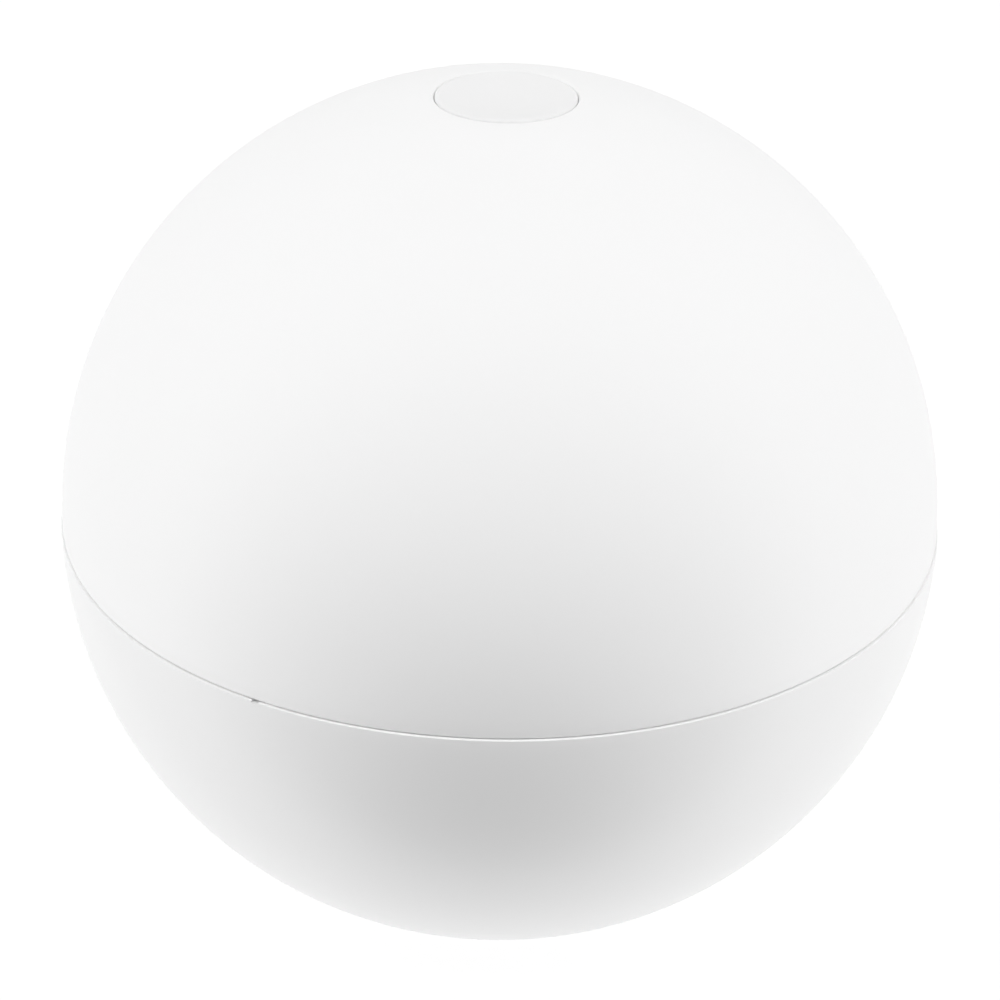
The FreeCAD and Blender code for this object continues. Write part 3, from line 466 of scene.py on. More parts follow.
def arithmetic(nodes, links, operation, *values):
    """One operation on one or two values."""
    node = nodes.new("ShaderNodeMath")
    node.operation = operation
    for value, socket in zip(values, node.inputs):
        links.new(value, socket)
    return node.outputs[0]


def blend(nodes, links, value, first, second):
    """From the first colour at 0 to the second at 1."""
    node = nodes.new("ShaderNodeMix")
    node.data_type = "RGBA"
    node.inputs["A"].default_value = (*first, 1)
    node.inputs["B"].default_value = (*second, 1)
    links.new(value, node.inputs["Factor"])
    return node.outputs["Result"]


def bump(nodes, links, shader, height, distance):
    """Relief of the given depth in metres on the shader."""
    node = nodes.new("ShaderNodeBump")
    node.inputs["Distance"].default_value = distance
    node.inputs["Strength"].default_value = 1.0
    links.new(height, node.inputs["Height"])
    links.new(node.outputs["Normal"], shader.inputs["Normal"])


def shade(value):
    """A neutral grey."""
    return (value, value, value)


def finish(name, light, dark, rough, grain, relief, mottle=9.0):
    """One surface: two close colours in a soft mottle, a roughness that wanders between two
    values, and a fine grain of the given size in metres and depth in metres."""
    made, nodes, links, shader, coordinates = material(name)
    patches = noise(nodes, links, coordinates, mottle, 4.0)
    tint = ramp(nodes, links, patches, 0.0, 1.0)
    links.new(blend(nodes, links, tint, dark, light), shader.inputs["Base Color"])
    handling = noise(nodes, links, coordinates, mottle * 4.3, 5.0, 0.6)
    links.new(ramp(nodes, links, handling, *rough), shader.inputs["Roughness"])
    fine = noise(nodes, links, coordinates, 1.0 / grain, 2.0, 0.6)
    bump(nodes, links, shader, fine, relief)
    return made


def opal(name, light, dark):
    """Opal diffuser plastic, not lit from inside, with a fine matt skin."""
    made = finish(name, light, dark, (0.44, 0.52), 0.0004, 0.000004, mottle=14.0)
    made.node_tree.nodes["Principled BSDF"].inputs["IOR"].default_value = 1.49
    return made


def moulded(name, level, rough, grain=0.0005, relief=0.000006, tint=(0, 0, 0)):
    """Opaque moulded plastic of one grey level, with a slight tint."""
    light = tuple(min(1.0, level * 1.012 + part) for part in tint)
    dark = tuple(level * 0.988 + part for part in tint)
    return finish(name, light, dark, rough, grain, relief)


def rubber(name, level):
    """Dull rubber of one grey level."""
    return finish(name, shade(level * 1.08), shade(level * 0.92), (0.62, 0.78), 0.0006, 0.00002,
                  mottle=40.0)


def steel(name, colour, rough, draw_axis):
    """Drawn or plated metal with fine lines along one axis."""
    made, nodes, links, shader, coordinates = material(name)
    mapping = nodes.new("ShaderNodeMapping")
    stretch = [900.0, 900.0, 900.0]
    stretch[draw_axis] = 60.0
    mapping.inputs["Scale"].default_value = stretch
    links.new(coordinates, mapping.inputs["Vector"])
    lines = noise(nodes, links, mapping.outputs["Vector"], 2.0, 4.0, 0.6)
    dark = tuple(part * 0.9 for part in colour)
    links.new(blend(nodes, links, lines, dark, colour), shader.inputs["Base Color"])
    stains = noise(nodes, links, coordinates, 160.0, 4.0)
    links.new(ramp(nodes, links, stains, *rough), shader.inputs["Roughness"])
    bump(nodes, links, shader, lines, 0.000008)
    shader.inputs["Metallic"].default_value = 1.0
    return made


def circuit_board(name, mask, track):
    """Solder mask over copper, with a pattern of straight tracks."""
    made, nodes, links, shader, coordinates = material(name)
    tracks = nodes.new("ShaderNodeTexBrick")
    tracks.inputs["Scale"].default_value = 1.0 / (TRACK_PITCH * 6)
    tracks.inputs["Mortar Size"].default_value = 0.02
    tracks.inputs["Brick Width"].default_value = 0.9
    tracks.inputs["Row Height"].default_value = 0.17
    tracks.offset = 0.37
    tracks.inputs["Color1"].default_value = (*mask, 1)
    tracks.inputs["Color2"].default_value = (*(part * 0.94 for part in mask), 1)
    tracks.inputs["Mortar"].default_value = (*track, 1)
    links.new(coordinates, tracks.inputs["Vector"])
    links.new(tracks.outputs["Color"], shader.inputs["Base Color"])
    sheen = noise(nodes, links, coordinates, 300.0, 3.0)
    links.new(ramp(nodes, links, sheen, 0.24, 0.36), shader.inputs["Roughness"])
    bump(nodes, links, shader, tracks.outputs["Fac"], 0.00003)
    return made


# ------------------------------------------------------------------ finishes

DOME_OPAL = opal("dome_opal", shade(0.935), shade(0.925))
BASE_WHITE = moulded("base_white", 0.895, rough=(0.3, 0.38))
BUTTON_WHITE = moulded("button_white", 0.885, rough=(0.4, 0.48), grain=0.0004)
DOOR_WHITE = moulded("door_white", 0.83, rough=(0.3, 0.4))
FOOT_RUBBER = rubber("foot_rubber", 0.09)
REFLECTOR_WHITE = moulded("reflector_white", 0.86, rough=(0.5, 0.6))
POST_WHITE = moulded("post_white", 0.82, rough=(0.42, 0.52))
HOLDER_BLACK = moulded("holder_black", 0.012, rough=(0.4, 0.55), relief=0.00001)
SWITCH_BLACK = moulded("switch_black", 0.009, rough=(0.34, 0.44))
PLUNGER_GREY = moulded("plunger_grey", 0.24, rough=(0.24, 0.32), relief=0.000002)
CHIP_BLACK = moulded("chip_black", 0.008, rough=(0.45, 0.6), grain=0.0002)
FERRITE_DARK = moulded("ferrite_dark", 0.018, rough=(0.5, 0.7), grain=0.0003, relief=0.00002)
CONNECTOR_CREAM = moulded("connector_cream", 0.6, rough=(0.35, 0.45), tint=(0.06, 0.02, -0.12))
SEAL_SILICONE = finish("seal_silicone", shade(0.27), shade(0.25), (0.55, 0.7), 0.0004, 0.000008,
                       mottle=60.0)
BOOT_SILICONE = finish("boot_silicone", shade(0.66), shade(0.62), (0.5, 0.62), 0.0004, 0.000006,
                       mottle=60.0)
LEAD_JACKET = finish("lead_jacket", shade(0.018), shade(0.013), (0.4, 0.55), 0.0003, 0.000006,
                     mottle=90.0)
WHITE_BOARD = circuit_board("white_board", (0.78, 0.78, 0.76), (0.7, 0.69, 0.66))
GREEN_BOARD = circuit_board("green_board", (0.012, 0.11, 0.035), (0.03, 0.18, 0.07))
CELL_SLEEVE = finish("cell_sleeve", (0.035, 0.16, 0.32), (0.028, 0.13, 0.27), (0.16, 0.26),
                     0.0012, 0.00001, mottle=70.0)
CELL_WASHER = moulded("cell_washer", 0.7, rough=(0.6, 0.75), relief=0.00002)
SCREW_STEEL = steel("screw_steel", (0.56, 0.57, 0.58), (0.24, 0.38), 2)
CLAMP_STEEL = steel("clamp_steel", (0.5, 0.51, 0.52), (0.3, 0.45), 1)
NICKEL = steel("nickel", (0.62, 0.58, 0.52), (0.2, 0.34), 1)
SOCKET_STEEL = steel("socket_steel", (0.55, 0.56, 0.57), (0.22, 0.34), 2)
CAPACITOR_CAN = steel("capacitor_can", (0.68, 0.69, 0.71), (0.2, 0.32), 2)
WINDING_COPPER = steel("winding_copper", (0.62, 0.24, 0.1), (0.18, 0.3), 2)
LED_WHITE = moulded("led_white", 0.8, rough=(0.3, 0.4), grain=0.0002, relief=0.000002)
LED_PHOSPHOR = finish("led_phosphor", (0.86, 0.62, 0.12), (0.8, 0.55, 0.09), (0.3, 0.42), 0.00015,
                      0.000004, mottle=300.0)

# ------------------------------------------------------------------ lower shell


def lower_shell():
    """The bowl with its rounded rim, shelf and flat underside."""
    under_drop = CENTRE - STAND - UNDERSIDE_ROUND
    under_ring = math.sqrt((GLOBE_RADIUS - UNDERSIDE_ROUND) ** 2 - under_drop ** 2)
    under_reach = GLOBE_RADIUS / (GLOBE_RADIUS - UNDERSIDE_ROUND)
    rim_ring = math.sqrt((GLOBE_RADIUS - RIM_ROUND) ** 2 - RIM_ROUND ** 2)
    rim_reach = GLOBE_RADIUS / (GLOBE_RADIUS - RIM_ROUND)
    inner = GLOBE_RADIUS - WALL
    shelf_top = CENTRE - SHELF_DEPTH
    floor_top = STAND + WALL
    shell = turned("lower_shell", (0, STAND), [
        (under_ring, STAND),
        (under_ring * under_reach, CENTRE - under_drop * under_reach,
         under_ring, STAND + UNDERSIDE_ROUND),
        (rim_ring * rim_reach, CENTRE - RIM_ROUND * rim_reach, 0, CENTRE),
        (rim_ring, CENTRE, rim_ring, CENTRE - RIM_ROUND),
        (RIM_BORE, CENTRE),
        (RIM_BORE, shelf_top),
        (SHELF_INNER, shelf_top),
        (SHELF_INNER, CENTRE - math.sqrt(inner ** 2 - SHELF_INNER ** 2)),
        (math.sqrt(inner ** 2 - (CENTRE - floor_top) ** 2), floor_top, 0, CENTRE),
        (0, floor_top),
    ])
    combine(shell, shell_posts(floor_top), "UNION")
    combine(shell, shell_cuts(), "DIFFERENCE")
    return shell


def shell_posts(floor_top):
    """The hollow screw posts and the port's raised pad, all reaching into the wall."""
    wall_middle = GLOBE_RADIUS - WALL / 2
    sunk = floor_top - WALL / 2
    bowl = turned("bowl", (0, CENTRE - wall_middle), [
        (math.sqrt(wall_middle ** 2 - (CENTRE - DECK_SEAT) ** 2), DECK_SEAT, 0, CENTRE),
        (0, DECK_SEAT),
    ])
    deck_posts = tubes("deck_posts", ring_places(DECK_BOSS_CIRCLE, 6), DECK_POST_START, DECK_SEAT,
                       **DECK_POST)
    combine(deck_posts, bowl, "INTERSECT")
    board_posts = tubes("board_posts", BOARD_CORNERS, sunk, board_low.z, **BOARD_POST)
    clamp_posts = tubes("clamp_posts", CLAMP_FEET, sunk, CLAMP_SEAT, **CLAMP_POST)
    half = PORT_PAD / 2
    pad = block("port_pad", (-half.x, PORT_Y - half.y, sunk),
                (half.x, PORT_Y + half.y, floor_top + PORT_PAD.z))
    soften(pad, 0.0012, upright, segments=5)
    return join([deck_posts, board_posts, clamp_posts, pad], "shell_posts")


def shell_cuts():
    """Recesses for the feet and the port's door, the plug's slot, hinge holes, the fingernail
    relief and the small notch at the seam."""
    outside = STAND - BEYOND
    recess_top = STAND + DOOR_RECESS.z
    half = DOOR_RECESS / 2
    port = block("port_cut", (-half.x, PORT_Y - half.y, outside),
                 (half.x, PORT_Y + half.y, recess_top))
    half = PORT_SLOT / 2
    slot = block("slot_cut", (-half.x, PORT_Y - half.y, recess_top - 0.0005),
                 (half.x, PORT_Y + half.y, recess_top + PORT_SLOT.z + BEYOND))
    soften(slot, 0.0008, upright, segments=5)
    nail = rod("nail_cut", (DOOR_RECESS.x / 2, PORT_Y, outside),
               (DOOR_RECESS.x / 2, PORT_Y, STAND + NAIL_DEPTH), NAIL_RADIUS)
    hinge = rod("hinge_cut", (HINGE_X, PORT_Y - HINGE_REACH / 2, HINGE_HEIGHT),
                (HINGE_X, PORT_Y + HINGE_REACH / 2, HINGE_HEIGHT), HINGE_HOLE, "Y", 24)
    for tool in (slot, nail, hinge):
        combine(port, tool, "UNION")
    feet = [rod("foot_cut", place + UP * outside, place + UP * (STAND + FOOT_RECESS),
                FOOT_RECESS_RADIUS, sides=64)
            for place in ring_places(FOOT_CIRCLE, 4, 45)]
    turn = math.radians(NOTCH_TURN)
    bpy.ops.object.select_all(action="DESELECT")
    bpy.ops.mesh.primitive_cube_add(
        size=1, scale=(2 * NOTCH_REACH, NOTCH_WIDTH, 2 * NOTCH_DEPTH), rotation=(0, 0, turn),
        location=(GLOBE_RADIUS * math.cos(turn), GLOBE_RADIUS * math.sin(turn), CENTRE))
    notch = bpy.context.object
    bpy.ops.object.transform_apply(location=True, rotation=True, scale=True)
    return join([port, notch, *feet], "shell_cuts")


fit(coat(lower_shell(), BASE_WHITE), "base", "base_white", "base_shell")

# ------------------------------------------------------------------ dome


def opal_dome():
    """The dome with its rounded lower edge, tongue, button well and inner wall."""
    edge_lift = SEAM_GAP + DOME_EDGE_ROUND
    edge_ring = math.sqrt((DOME_RADIUS - DOME_EDGE_ROUND) ** 2 - edge_lift ** 2)
    edge_reach = DOME_RADIUS / (DOME_RADIUS - DOME_EDGE_ROUND)
    mouth_ring = CAP_BORE + MOUTH_ROUND
    mouth_lift = math.sqrt((DOME_RADIUS - MOUTH_ROUND) ** 2 - mouth_ring ** 2)
    mouth_reach = DOME_RADIUS / (DOME_RADIUS - MOUTH_ROUND)
    inner = DOME_RADIUS - WALL
    well_radius = CAP_BORE + WELL_WALL
    tongue_inner = TONGUE_OUTER - TONGUE_WALL
    lug_top = NECK_TOP - LUG_DROP
    pocket_bottom = SKIRT_BOTTOM - POCKET_BELOW
    pocket_top = SKIRT_BOTTOM + HOOK_HEIGHT + POCKET_ABOVE
    dome = turned("opal_dome", (edge_ring, CENTRE + SEAM_GAP), [
        (edge_ring * edge_reach, CENTRE + edge_lift * edge_reach,
         edge_ring, CENTRE + edge_lift),
        (mouth_ring * mouth_reach, CENTRE + mouth_lift * mouth_reach, 0, CENTRE),
        (CAP_BORE, CENTRE + mouth_lift, mouth_ring, CENTRE + mouth_lift),
        (CAP_BORE, pocket_top),
        (CAP_BORE, pocket_bottom),
        (CAP_BORE, WELL_TOP),
        (WELL_HOLE, WELL_TOP),
        (WELL_HOLE, WELL_TOP - WELL_FLOOR),
        (well_radius, WELL_TOP - WELL_FLOOR),
        (well_radius, CENTRE + math.sqrt(inner ** 2 - well_radius ** 2)),
        (tongue_inner, CENTRE + math.sqrt(inner ** 2 - tongue_inner ** 2), 0, CENTRE),
        (tongue_inner, lug_top),
        (tongue_inner, lug_top - LUG_HEIGHT),
        (tongue_inner, TONGUE_BOTTOM),
        (TONGUE_OUTER, TONGUE_BOTTOM),
        (TONGUE_OUTER, CENTRE + SEAM_GAP),
        (edge_ring, CENTRE + SEAM_GAP),
    ])
    stretch_radially(dome, tongue_inner, LUG_INNER, lug_top - LUG_HEIGHT, lug_top,
                     LUG_COUNT, LUG_ANGLE)
    stretch_radially(dome, CAP_BORE, HOOK_POCKET, pocket_bottom, pocket_top,
                     HOOK_COUNT, POCKET_ANGLE)
    return dome


fit(coat(opal_dome(), DOME_OPAL), "dome", "dome_opal", "diffuser_dome")

# ------------------------------------------------------------------ push button


def push_button():
    """The cap with its crest, shallow dish, skirt, pin and snap hooks."""
    radius = CAP_BORE - CAP_GAP
    floor = CAP_TOP - CAP_DISH
    underside = floor - CAP_PLATE
    crest = radius - CAP_CREST
    round_start = CAP_TOP - CAP_EDGE_ROUND
    cap = turned("push_button", (0, CAP_PIN_BOTTOM), [
        (CAP_PIN, CAP_PIN_BOTTOM),
        (CAP_PIN, underside),
        (radius - CAP_SKIRT, underside),
        (radius - CAP_SKIRT, SKIRT_BOTTOM),
        (radius, SKIRT_BOTTOM),
        (radius, SKIRT_BOTTOM + HOOK_HEIGHT),
        (radius, round_start),
        (radius - CAP_EDGE_ROUND, CAP_TOP, radius - CAP_EDGE_ROUND, round_start),
        (crest, CAP_TOP),
        (crest - CAP_SLOPE, floor),
        (0, floor),
    ])
    stretch_radially(cap, radius, HOOK_RADIUS, SKIRT_BOTTOM, SKIRT_BOTTOM + HOOK_HEIGHT,
                     HOOK_COUNT, HOOK_ANGLE)
    return cap


fit(coat(push_button(), BUTTON_WHITE), "button", "button_white", "button_cap")

# ------------------------------------------------------------------ feet and port door


def rubber_foot():
    """A soft round foot with a rounded tread edge, a fine tread ring and a hollow middle."""
    radius = FOOT_RECESS_RADIUS - FOOT_GAP
    return turned("rubber_foot", (0, 0.0004), [
        (0.0046, 0.0004),
        (0.0052, 0.0),
        (0.0058, 0.0),
        (0.0060, 0.0002),
        (0.0063, 0.0002),
        (0.0065, 0.0),
        (radius - 0.0008, 0.0),
        (radius, 0.0008, radius - 0.0008, 0.0008),
        (radius, FEET_TOP),
        (0, FEET_TOP),
    ], steps=72)


def cover_door():
    """The port's cover: a hinge barrel, softened edges, grip grooves, a spigot and pins."""
    plate_top = STAND + DOOR_PLATE
    near = PORT_Y - DOOR_HALF_WIDTH
    far = PORT_Y + DOOR_HALF_WIDTH
    door = block("cover_door", (HINGE_X - HINGE_BARREL, near, STAND),
                 (door_high.x, far, plate_top))
    soften(door, 0.00099,
           lambda middle, along: abs(along.y) > 0.9 and middle.x < HINGE_X - HINGE_BARREL / 2,
           segments=8)
    soften(door, 0.0003,
           lambda middle, along: middle.x > door_high.x - ON_SURFACE or (
               abs(along.x) > 0.9 and abs(middle.z - STAND) < ON_SURFACE))
    grip_height = STAND - GRIP_BELOW
    grips = [rod("grip", (x, near - BEYOND, grip_height), (x, far + BEYOND, grip_height),
                 GRIP_RADIUS, "Y", 24) for x in GRIP_PLACES]
    combine(door, join(grips, "grips"), "DIFFERENCE")
    spigot = block("spigot", (-SPIGOT_REACH[0], PORT_Y - SPIGOT_REACH[1], plate_top - 0.0006),
                   (SPIGOT_REACH[0], PORT_Y + SPIGOT_REACH[1], door_high.z))
    soften(spigot, 0.0007, upright, segments=4)
    soften(spigot, 0.0003, lambda middle, along: middle.z > door_high.z - ON_SURFACE, segments=2)
    combine(door, spigot, "UNION")
    pins = rod("pins", (HINGE_X, door_low.y, HINGE_HEIGHT), (HINGE_X, door_high.y, HINGE_HEIGHT),
               HINGE_PIN, "Y", 24, round_edge=0.00015)
    combine(door, pins, "UNION")
    return door


feet = copies(rubber_foot(), ring_places(FOOT_CIRCLE, 4, 45), "rubber_feet_soft")
fit(coat(feet, FOOT_RUBBER), "base", "foot_rubber", "rubber_feet")
fit(coat(cover_door(), DOOR_WHITE), "port_flap", "door_white", "port_door")

# ------------------------------------------------------------------ screws


def pan_screw(head, head_height, shank, length):
    """A pan-head screw with a cross recess and a thread, its seat at the origin's height."""
    pitch = THREAD_PITCH
    core = shank * 0.8
    corner = head_height * 0.7
    outline = [(core * 0.7, -length), (core, -length + pitch / 2)]
    lift = -length + pitch / 2
    while lift < -pitch * 1.6:
        outline += [(shank, lift + pitch / 2), (core, lift + pitch)]
        lift += pitch
    outline += [
        (core, 0),
        (head, 0),
        (head, head_height - corner),
        (head - corner, head_height, head - corner, head_height - corner),
        (0, head_height),
    ]
    screw = turned("pan_screw", (0, -length), outline, steps=28)
    reach = head * 0.52
    thin = head * 0.11
    floor = head_height * 0.42
    for x, y in ((reach, thin), (thin, reach)):
        blade = block("blade", (-x, -y, floor), (x, y, head_height * 1.2))
        combine(screw, blade, "DIFFERENCE")
    return coat(screw, SCREW_STEEL)


def screw_set(name, node, places, size=SMALL_SCREW):
    """A screw at each place, with the tops of their heads where the solids have them."""
    head_height = size[1]
    lift = Vector((0, 0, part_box(node)[1].z - head_height))
    made = copies(pan_screw(*size), [place + lift for place in places], name)
    fit(made, "base", "screw_steel", node)


screw_set("deck_pan_screws", "deck_screws", ring_places(DECK_BOSS_CIRCLE, 6), LARGE_SCREW)
screw_set("column_pan_screws", "column_screws", ring_places(COLUMN_SCREW_CIRCLE, 3, 90))
screw_set("led_pan_screws", "led_board_screws", ring_places(LED_SCREW_CIRCLE, 3, 22.5))
screw_set("clamp_pan_screws", "battery_clamp_screws", CLAMP_FEET)
screw_set("board_pan_screws", "control_board_screws", BOARD_CORNERS)

# ------------------------------------------------------------------ lamps


def led_package():
    """A square white package with a round well of yellow phosphor under its lens."""
    low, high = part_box("led_chips")
    half = 0.0025
    middle = high.x - half
    package = block("led_package", (middle - half, -half, low.z), (middle + half, half, high.z),
                    0.00018)
    well = rod("led_well", (middle, 0, high.z - 0.0004), (middle, 0, high.z + BEYOND), 0.00185)
    combine(package, well, "DIFFERENCE")
    coat(package, LED_WHITE)
    radius = 0.00184
    lens = turned("led_lens", (0, high.z - 0.0005), [
        (radius, high.z - 0.0005),
        (radius, high.z - 0.00025),
        (0.0, high.z - 0.0001),
    ], steps=40, place=(middle, 0, 0))
    coat(lens, LED_PHOSPHOR)
    return join([package, lens], "led_package")


fit(round_the_axis(led_package(), 8, "led_packages"), "base", "led_package", "led_chips")

# ------------------------------------------------------------------ battery cells


def round_cell(name, node):
    """A cell in its shrink sleeve: rolled sleeve ends, bare can, washer and raised contact."""
    low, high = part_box(node)
    place = (0, (low.y + high.y) / 2, (low.z + high.z) / 2)
    radius = (high.z - low.z) / 2
    shoulder = high.x - 0.0012
    can = turned("can", (low.x + 0.00005, 0), [
        (low.x + 0.00005, radius - 0.0007),
        (low.x + 0.0006, radius - 0.00015),
        (shoulder - 0.0006, radius - 0.00015),
        (shoulder - 0.0002, radius - 0.0005),
        (shoulder - 0.0002, 0),
    ], steps=72, axis=(1, 0, 0), place=place)
    skin = 0.00012
    roll = 0.0004
    lip = 0.0014
    sleeve = turned("sleeve", (low.x, radius - lip), [
        (low.x, radius - roll),
        (low.x + roll, radius, low.x + roll, radius - roll),
        (shoulder - roll, radius),
        (shoulder, radius - roll, shoulder - roll, radius - roll),
        (shoulder, radius - lip),
        (shoulder - skin, radius - lip),
        (shoulder - skin, radius - roll),
        (shoulder - roll, radius - skin),
        (low.x + roll, radius - skin),
        (low.x + skin, radius - roll),
        (low.x + skin, radius - lip),
        (low.x, radius - lip),
    ], steps=72, axis=(1, 0, 0), place=place)
    bed = shoulder - 0.0003
    face = shoulder - 0.00006
    hole = 0.0036
    washer = turned("washer", (bed, hole), [
        (face, hole),
        (face, radius - 0.0016),
        (bed, radius - 0.0016),
        (bed, hole),
    ], steps=48, axis=(1, 0, 0), place=place)
    contact = turned("contact", (shoulder - 0.0004, 0), [
        (shoulder - 0.0004, 0.0033),
        (high.x - 0.0004, 0.0031),
        (high.x, 0.0027, high.x - 0.0004, 0.0027),
        (high.x, 0),
    ], steps=48, axis=(1, 0, 0), place=place)
    coat(can, NICKEL)
    coat(sleeve, CELL_SLEEVE)
    coat(washer, CELL_WASHER)
    coat(contact, NICKEL)
    fit(join([sleeve, can, washer, contact], name), "base", "cell_sleeve", node)


round_cell("front_cell", "battery_cell_front")
round_cell("rear_cell", "battery_cell_rear")

# ------------------------------------------------------------------ parts on the control board


def chip_package(x, y, length, width, height, pins):
    """A moulded package with a pin-one dimple and flat legs along two of its sides."""
    seat = board_high.z
    inset = min(length, width) * 0.07
    half = Vector((length / 2 - inset, width / 2 - inset, 0))
    moulding = block("moulding", (x - half.x, y - half.y, seat + 0.0001),
                     (x + half.x, y + half.y, seat + height), height * 0.14)
    mark = (x - half.x * 0.68, y + half.y * 0.68)
    dot = rod("dot", (*mark, seat + height - 0.00008), (*mark, seat + height + BEYOND),
              0.00025, sides=16)
    combine(moulding, dot, "DIFFERENCE")
    coat(moulding, CHIP_BLACK)
    legs = []
    pitch = 2 * half.y / pins
    for index in range(pins):
        across = y - half.y + pitch * (index + 0.5)
        for side in (-1, 1):
            near = x + side * (half.x - 0.0001)
            far = x + side * length / 2
            leg = block("leg", (min(near, far), across - pitch * 0.22, seat),
                        (max(near, far), across + pitch * 0.22, seat + height * 0.4),
                        pitch * 0.08)
            legs.append(coat(leg, SOCKET_STEEL))
    return join([moulding, *legs], "chip_package")


chips = join([
    chip_package(-0.006, PORT_Y + 0.004, 0.007, 0.007, 0.001, 8),
    chip_package(0.012, PORT_Y - 0.007, 0.005, 0.006, 0.0016, 4),
    chip_package(-0.013, PORT_Y - 0.009, 0.003, 0.003, 0.0009, 3),
], "chip_packages")
fit(chips, "base", "chip_black", "board_chips")


def power_coil():
    """A drum of ferrite with a bright copper winding between its flanges."""
    low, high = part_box("board_coil")
    place = ((low.x + high.x) / 2, (low.y + high.y) / 2, 0)
    radius = (high.x - low.x) / 2
    flange = 0.0008
    edge = 0.0002
    drum = turned("drum", (0, low.z), [
        (radius - edge, low.z),
        (radius, low.z + edge),
        (radius, low.z + flange),
        (radius * 0.6, low.z + flange),
        (radius * 0.6, high.z - flange),
        (radius, high.z - flange),
        (radius, high.z - edge),
        (radius - edge, high.z),
        (0, high.z),
    ], steps=48, place=place)
    coat(drum, FERRITE_DARK)
    turns = []
    wire = 0.0004
    lift = low.z + flange + wire / 2
    while lift < high.z - flange - wire / 2 + 1e-6:
        bpy.ops.object.select_all(action="DESELECT")
        bpy.ops.mesh.primitive_torus_add(
            major_radius=radius - wire, minor_radius=wire / 2, major_segments=48,
            minor_segments=8, location=(place[0], place[1], lift))
        turn = bpy.context.object
        bpy.ops.object.transform_apply(location=True, rotation=True, scale=True)
        bpy.ops.object.shade_smooth()
        turns.append(coat(turn, WINDING_COPPER))
        lift += wire
    return join([drum, *turns], "power_coil")


fit(power_coil(), "base", "coil_dark", "board_coil")


def capacitor():
    """An aluminium can on a dark seat, crimped near its foot, with a scored cross on top."""
    low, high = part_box("board_capacitors")
    radius = (high.y - low.y) / 2
    seat = turned("seat", (0, low.z), [
        (radius - 0.0001, low.z), (radius - 0.0001, low.z + 0.0007), (0, low.z + 0.0007)], steps=40)
    coat(seat, HOLDER_BLACK)
    can = turned("can", (0, low.z + 0.0006), [
        (radius - 0.0002, low.z + 0.0006),
        (radius, low.z + 0.0008),
        (radius, low.z + 0.0013),
        (radius - 0.0003, low.z + 0.0016),
        (radius, low.z + 0.0019),
        (radius, high.z - 0.0005),
        (radius - 0.0005, high.z, radius - 0.0005, high.z - 0.0005),
        (0, high.z),
    ], steps=48)
    reach = radius * 0.7
    thin = 0.00008
    for x, y in ((reach, thin), (thin, reach)):
        score = block("score", (-x, -y, high.z - 0.00015), (x, y, high.z + BEYOND))
        combine(can, score, "DIFFERENCE")
    coat(can, CAPACITOR_CAN)
    return join([seat, can], "capacitor")


cans = copies(capacitor(), [Vector((x, PORT_Y + 0.003, 0)) for x in (0.022, 0.015)], "capacitors")
fit(cans, "base", "capacitor_can", "board_capacitors")


def lead_connector():
    """A two-way plug in its header, with two windows and a fine line round the joint."""
    low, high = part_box("board_connectors")
    half = Vector((0.003, 0.00225, 0))
    shroud = block("shroud", (-half.x, -half.y, low.z), (half.x, half.y, high.z), 0.0002)
    for x in (-0.0014, 0.0014):
        window = block("window", (x - 0.0008, -half.y - BEYOND, high.z - 0.0024),
                       (x + 0.0008, -half.y + 0.0006, high.z - 0.0008), 0.0001)
        combine(shroud, window, "DIFFERENCE")
    line = block("line", (-half.x - BEYOND, -half.y - BEYOND, low.z + 0.0021),
                 (half.x + BEYOND, half.y + BEYOND, low.z + 0.0023))
    deep = 0.00015
    inside = block("inside", (-half.x + deep, -half.y + deep, low.z + 0.002),
                   (half.x - deep, half.y - deep, low.z + 0.0024))
    combine(line, inside, "DIFFERENCE")
    combine(shroud, line, "DIFFERENCE")
    return coat(shroud, CONNECTOR_CREAM)


plugs = copies(lead_connector(), [Vector((x, PORT_Y + 0.013, 0)) for x in (-0.006, 0.006, -0.019)],
               "lead_connectors")
fit(plugs, "base", "connector_cream", "board_connectors")

# ------------------------------------------------------------------ boot and seals


def spring_boot():
    """The silicone bell with softened edges that springs the button back."""
    low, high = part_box("button_boot")
    flange = low.z + 0.001
    edge = 0.0002
    return turned("spring_boot", (0.0064, low.z), [
        (high.x - edge, low.z),
        (high.x, low.z + edge, high.x - edge, low.z + edge),
        (high.x, flange - edge),
        (high.x - edge, flange, high.x - edge, flange - edge),
        (0.0079, flange),
        (0.0072, flange + 0.0005),
        (0.0030, high.z - 0.0004),
        (0.0026, high.z, 0.0026, high.z - 0.0004),
        (0, high.z),
        (0, high.z - 0.002),
        (0.00205, high.z - 0.002),
        (0.00225, high.z - 0.0022),
        (0.0064, low.z),
    ], steps=96)


boot = coat(spring_boot(), BOOT_SILICONE)
fit(boot, "dome", "boot_silicone", "button_boot")
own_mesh(boot)


def corner_rounded_ring(name, node, inner, corner):
    """A moulded ring of square section with softened corners."""
    low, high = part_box(node)
    outer = min(high.x, high.y)
    return turned(name, (inner + corner, low.z), [
        (outer - corner, low.z),
        (outer, low.z + corner, outer - corner, low.z + corner),
        (outer, high.z - corner),
        (outer - corner, high.z, outer - corner, high.z - corner),
        (inner + corner, high.z),
        (inner, high.z - corner, inner + corner, high.z - corner),
        (inner, low.z + corner),
        (inner + corner, low.z, inner + corner, low.z + corner),
    ])


